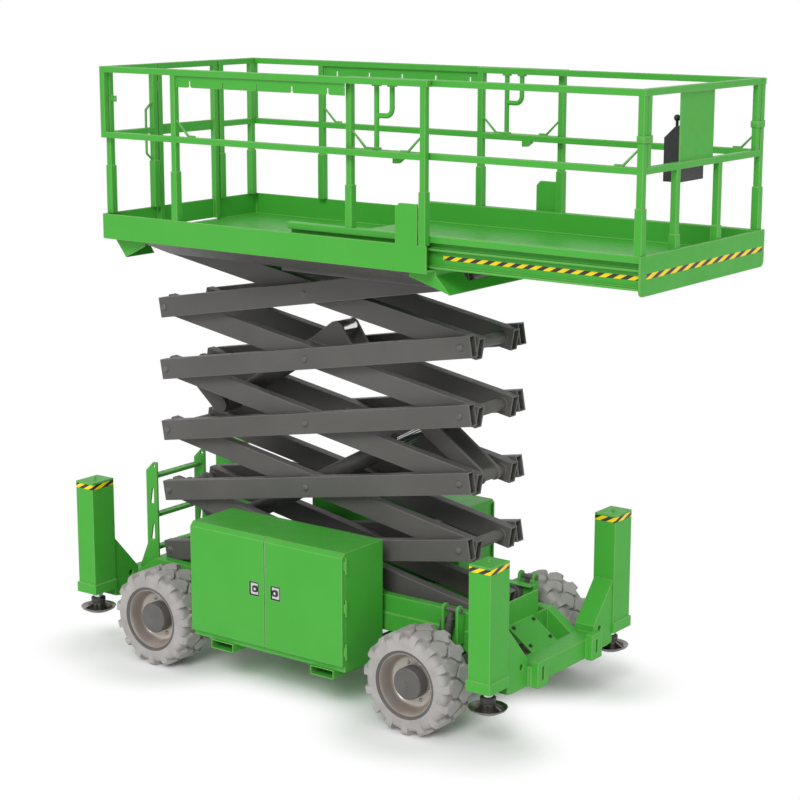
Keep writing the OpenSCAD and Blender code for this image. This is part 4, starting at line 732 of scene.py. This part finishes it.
# %% [markdown]
# The front door's free edge wears a bright edge strip, seen as a pale line in the gap between the doors. Its top
# follows the door's slanted edge: a straight bar, cut by one slanted plane, which is how a fitter would saw it.

# %% Edge strips of the front doors
CHAMFER, EDGE_T, EDGE_W, EDGE_Y = 0.030, 0.0035, 0.0292, -0.860
low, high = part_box("door_near_front")
strip = start("cube", size=1, location=(low.x - EDGE_T / 2, EDGE_Y, (low.z + high.z) / 2),
              scale=(EDGE_T, EDGE_W, high.z - low.z - 0.002))
bpy.ops.object.mode_set(mode="EDIT")
bpy.ops.mesh.select_all(action="SELECT")
bpy.ops.mesh.bisect(plane_co=(0, DOOR_FACE + CHAMFER, high.z - 0.0008), plane_no=(0, -1, 1), use_fill=True,
                    clear_outer=True)
pick(strip, lambda middle, along: abs(along.x) < 0.1, "edges")
bpy.ops.mesh.bevel(offset=0.0006, segments=2)
hand_over(strip, "edge_strip_near", "door_near_front", "chrome", zinc)
copied(strip, "edge_strip_far", "door_far_front", MIRROR_Y)
print("edge strips", round(high.z - low.z, 3), "m tall")

# %% [markdown]
# ## Doubled end posts
# The end of the sliding guard is a frame of its own, strapped to the side guards: beside each corner post runs a second
# tube from the mid rail to the top rail, and a flat strap holds the two together. The tube is a block with well rounded
# edges, and the strap a block whose ends are inset and bridged, so that it is open like a real one.

# %% Second tubes and straps
TUBE_EDGE, TUBE_GAP, TUBE_ROOT, BESIDE = 0.005, 0.0005, 0.002, 0.051
POST_X, POST_Y, MID_TOP, RAIL_LOW = (2.206, 2.246), (-0.739, -0.699), 3.694, 4.092
STRAP_H, STRAP_T, STRAP_EDGE, STRAP_Z = 0.042, 0.005, 0.003, 3.852
twin_y = (POST_Y[0] + BESIDE, POST_Y[1] + BESIDE)
tube = slab((POST_X[0] + TUBE_GAP, twin_y[0], MID_TOP - TUBE_ROOT),
            (POST_X[1] - TUBE_GAP, twin_y[1], RAIL_LOW + TUBE_ROOT), TUBE_EDGE, 3)
hand_over(tube, "end_tube_near", "extension", "green_paint", green_powder)
strap = slab((POST_X[0] - STRAP_T, POST_Y[0] - STRAP_T, STRAP_Z - STRAP_H / 2),
             (POST_X[1] + STRAP_T, twin_y[1] + STRAP_T, STRAP_Z + STRAP_H / 2), STRAP_EDGE)
pick(strap, in_line(UP))
bpy.ops.mesh.inset(thickness=STRAP_T - STRAP_EDGE)
bpy.ops.mesh.bridge_edge_loops()
hand_over(strap, "end_strap_near", "extension", "green_paint", green_powder)
for name in ("end_tube", "end_strap"):
    copied(bpy.data.objects[name + "_near"], name + "_far", "extension", MIRROR_Y)
print("end tubes", round(RAIL_LOW - MID_TOP, 3), "m long")

# %% [markdown]
# ## Entry gate
# The gate closes on a spring latch: a dark body with a pale push plate in it. A small reflector is stuck on the flat
# bar beside it. The body is a rounded block with a recess, and the plate and the film are thin blocks set on.

# %% Gate latch and reflector
FILM_X, FILM_Y, FILM_Z = (0.0094, 0.0104), (0.175, 0.235), (3.652, 3.698)
GATE_LATCH, GATE_LATCH_SIZE = Vector((0.005, 0.272, 3.676)), (0.010, 0.060, 0.048)
PUSH_X, PUSH_Y, PUSH_Z = (0.0008, 0.0060), (0.256, 0.288), (3.664, 3.690)
gate_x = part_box("entry_gate")[0].x
film = slab((gate_x + FILM_X[0], FILM_Y[0], FILM_Z[0]), (gate_x + FILM_X[1], FILM_Y[1], FILM_Z[1]), 0.0004, 1)
hand_over(film, "gate_reflector", "entry_gate", "green_paint", reflector)
body = start("cube", size=1, location=GATE_LATCH + Vector((gate_x, 0, 0)), scale=GATE_LATCH_SIZE)
pick(body, in_line(REAR), "edges")
bpy.ops.mesh.bevel(offset=0.006, segments=3)
pick(body, facing(REAR))
cut_steps([(0.002, -0.001), (0.010, 0.0), (0.0015, -0.002)], REAR)
hand_over(body, "gate_latch_body", "entry_gate", "dark_plastic", black_plastic)
push = slab((gate_x + PUSH_X[0], PUSH_Y[0], PUSH_Z[0]), (gate_x + PUSH_X[1], PUSH_Y[1], PUSH_Z[1]), 0.002, 3)
hand_over(push, "gate_latch_plate", "entry_gate", "dark_plastic", white_vinyl)
print("gate fittings at x", round(gate_x, 3))

# %% [markdown]
# ## Pins of the scissor arms
# Each pivot is a steel pin with a turned, domed head outside the arm. The dome is a short cylinder whose outer end is
# inset and raised in steps. One is modelled at a middle pivot and copied to the others, each on its own arms. The
# lowest and highest middle pivots keep the flat heads of the CAD model, because a dome would meet the rails with the
# lift down. So do the lowest left and highest right pivots, where the stack ends at the chassis and at the platform.

# %% Domed pin heads
ARM_FACE, PIN_R, PIN_H, PIN_OUT, LEVEL_RISE, LEVELS = -0.315, 0.0245, 0.005, 0.0015, 0.444908, 5
PINS = {"left": (-1.823, 0.655), "middle": (-0.552325, 0.877454), "right": (0.718349, 1.099908)}
DOME_STEPS = [(0.001, 0.0015), (0.002, 0.003), (0.003, 0.0025), (0.004, 0.002), (0.006, 0.001)]
MODELLED = ("middle", 1)
FLAT_HEADS = (("left", 0), ("middle", 0), ("middle", LEVELS - 1), ("right", LEVELS - 1))
first = Vector((PINS["middle"][0], ARM_FACE, PINS["middle"][1] + LEVEL_RISE))
dome = start("cylinder", vertices=32, radius=PIN_R, depth=PIN_H, location=first + NEAR * PIN_OUT, rotation=LIE_ACROSS)
pick(dome, facing(NEAR))
cut_steps(DOME_STEPS, NEAR)
hand_over(dome, "pin_head_middle_near_4", "outer_arms_4", "dark_metal", dark_steel, 50)
for level in range(LEVELS):
    for spot, (x, z) in PINS.items():
        if (spot, level) == MODELLED or (spot, level) in FLAT_HEADS:
            continue
        arms = LEVELS - level
        shift = Matrix.Translation((x - first.x, 0, z + level * LEVEL_RISE - first.z))
        for side, turn in (("near", shift), ("far", MIRROR_Y @ shift)):
            copied(dome, "pin_head_" + spot + "_" + side + "_" + str(arms), "outer_arms_" + str(arms), turn)
copied(dome, "pin_head_middle_far_4", "outer_arms_4", MIRROR_Y)

# %% [markdown]
# ## Oscillation cylinders
# A short hydraulic cylinder on each side steadies the front axle. It hangs between two green ears on the rail and leans
# back to the axle, with a valve block beside it. An ear is a plate cut with a round top: a disc whose lower half is
# drawn down to the rail, with a web behind it.

# %% Ears on the rail
EAR_X, EAR_T, EAR_R, EAR_FOOT_Z, EAR_FLARE = (0.701, 0.813), 0.016, 0.034, 0.520, 0.006
EYE = Vector((0.765, -0.448, 0.748))
RAIL_FACE, RAIL_BITE, WEB_IN, WEB_Y, WEB_LIFT, WEB_DROP = -0.400, 0.018, 0.0025, 0.012, 0.004, 0.04
ears = []
for x in EAR_X:
    ear = start("cylinder", vertices=48, radius=EAR_R, depth=EAR_T, location=(x + EAR_T / 2, EYE.y, EYE.z),
                rotation=LIE_ALONG)
    for point in ear.data.vertices:
        if point.co.z < EYE.z:
            inside = (point.co.y - EYE.y) / EAR_R
            point.co = (point.co.x, point.co.y + EAR_FLARE * (1 + inside), EAR_FOOT_Z)
            point.co.y = min(point.co.y, RAIL_FACE + RAIL_BITE)
    pick(ear, in_line(REAR))
    bpy.ops.mesh.bevel(offset=0.002, segments=2)
    bpy.ops.object.mode_set(mode="OBJECT")
    web = slab((x + WEB_IN, EYE.y + WEB_Y, EAR_FOOT_Z + WEB_LIFT),
               (x + EAR_T - WEB_IN, RAIL_FACE + RAIL_BITE, EYE.z - WEB_DROP), 0.002)
    ears += [ear, web]
ears = hand_over(joined(ears), "oscillation_ears_near", "chassis", "green_paint", green_powder, 40)
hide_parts("oscillation_cylinders")
copied(ears, "oscillation_ears_far", "chassis", MIRROR_Y)
print("ears at x", EAR_X)

# %% [markdown]
# The barrel is turned in steps from one cylinder: downwards the tube, the gland and the end of the rod, upwards the
# neck to the eye. It is modelled upright, where steps are easy to give, and then leaned about the pin as it hangs on
# the machine. The valve block leans with it.

# %% Barrel, eye pin and valve block
LEAN = math.radians(11.9)
BARREL_R, BARREL_H, BARREL_BELOW = 0.0235, 0.030, 0.075
BARREL_STEPS = ((0.012, 1.0), (0.002, 1.08), (0.110, 1.0), (0.003, 0.86), (0.050, 1.0), (0.004, 0.7), (0.020, 1.0))
NECK_STEPS = ((0.003, 0.75), (0.040, 1.0))
leaned = Matrix.Translation(EYE) @ Matrix.Rotation(LEAN, 4, "Y") @ Matrix.Translation(-EYE)
barrel = start("cylinder", vertices=40, radius=BARREL_R, depth=BARREL_H, location=EYE + DOWN * BARREL_BELOW)
for outward, steps in ((DOWN, BARREL_STEPS), (UP, NECK_STEPS)):
    pick(barrel, facing(outward))
    for push, scale in steps:
        bpy.ops.mesh.extrude_region_move(TRANSFORM_OT_translate={"value": outward * push})
        bpy.ops.transform.resize(value=(scale, scale, 1), center_override=EYE)
bpy.ops.object.mode_set(mode="OBJECT")
barrel.data.transform(leaned)
hand_over(barrel, "oscillation_barrel_near", "chassis", "dark_metal", dark_steel, 30)

EYE_PIN_R, EYE_PIN_PROUD = 0.0165, 0.004
pin = start("cylinder", vertices=32, radius=EYE_PIN_R, depth=EAR_X[1] + 2 * EAR_T - EAR_X[0] + EYE_PIN_PROUD,
            location=((EAR_X[0] + EAR_X[1] + EAR_T) / 2, EYE.y, EYE.z), rotation=LIE_ALONG)
pick(pin, in_line(REAR))
bpy.ops.mesh.bevel(offset=0.002, segments=2)
hand_over(pin, "oscillation_pin_near", "chassis", "dark_metal", dark_steel, 30)

VALVE_LOW, VALVE_HIGH = Vector((-0.062, -0.020, -0.195)), Vector((-0.026, 0.020, -0.060))
block = slab(EYE + VALVE_LOW, EYE + VALVE_HIGH, 0.003)
pick(block, facing(NEAR, 0.99))
cut_steps([(0.005, 0.0), (0.002, -0.002)], NEAR)
bpy.ops.object.mode_set(mode="OBJECT")
block.data.transform(leaned)
hand_over(block, "oscillation_valve_near", "chassis", "dark_metal", dark_steel, 30)
for name in ("oscillation_barrel", "oscillation_pin", "oscillation_valve"):
    copied(bpy.data.objects[name + "_near"], name + "_far", "chassis", MIRROR_Y)
print("oscillation cylinders lean", round(math.degrees(LEAN), 1), "degrees")

# %% [markdown]
# ## Cover bolts
# The leaning cover behind the front beam is held by four black bolts. Each is the hexagon head from the wheels, without
# a stud, seated on the cover's slope.

# %% Four bolts on the front cover
COVER_TOP, COVER_LOW = Vector((0.999, 0, 0.600)), Vector((1.189, 0, 0.465))
COVER_OUT = Vector((0.579, 0, 0.815))
BOLT_ALONG, BOLT_Y, BOLT_ACROSS = (0.13, 0.82), (-0.118, 0.118), 0.022
bolts = []
for along in BOLT_ALONG:
    for y in BOLT_Y:
        place = COVER_TOP.lerp(COVER_LOW, along) + Vector((0, y, 0)) + COVER_OUT * WASHER_T
        bolts.append(hex_bolt("cover_bolt", place, COVER_OUT, BOLT_ACROSS, "chassis", "dark_metal", black_plastic))
hand_over(joined(bolts), "front_cover_bolts", "chassis", "dark_metal", black_plastic, 30)
print("cover bolts", len(BOLT_ALONG) * len(BOLT_Y))

# %% [markdown]
# ## Collars of the jack pads
# A dark gland collar sits on each pad's socket, round the bright rod. It is turned from a short cylinder: a rounded
# edge, a flat land and a groove at the rod. One is modelled and copied to the other three feet.

# %% Collars on the jack pads
COLLAR_R, COLLAR_Z, COLLAR_H = 0.051, 0.315, 0.034
spot = Vector((column_x["front"], column_y, COLLAR_Z + COLLAR_H / 2))
collar = start("cylinder", vertices=48, radius=COLLAR_R, depth=COLLAR_H, location=spot)
pick(collar, facing(UP))
cut_steps([(0.004, 0.003), (0.010, 0.0), (0.0015, -0.004)], UP)
pick(collar, facing(DOWN))
bpy.ops.mesh.bevel(offset=0.004, segments=2)
hand_over(collar, "pad_collar_front_near", "jack_foot_front_near", "dark_metal", cast_iron, 30)
back = Matrix.Translation((column_x["rear"] - column_x["front"], 0, 0))
copied(collar, "pad_collar_front_far", "jack_foot_front_far", MIRROR_Y)
copied(collar, "pad_collar_rear_near", "jack_foot_rear_near", back)
copied(collar, "pad_collar_rear_far", "jack_foot_rear_far", MIRROR_Y @ back)
print("pad collars at z", COLLAR_Z)
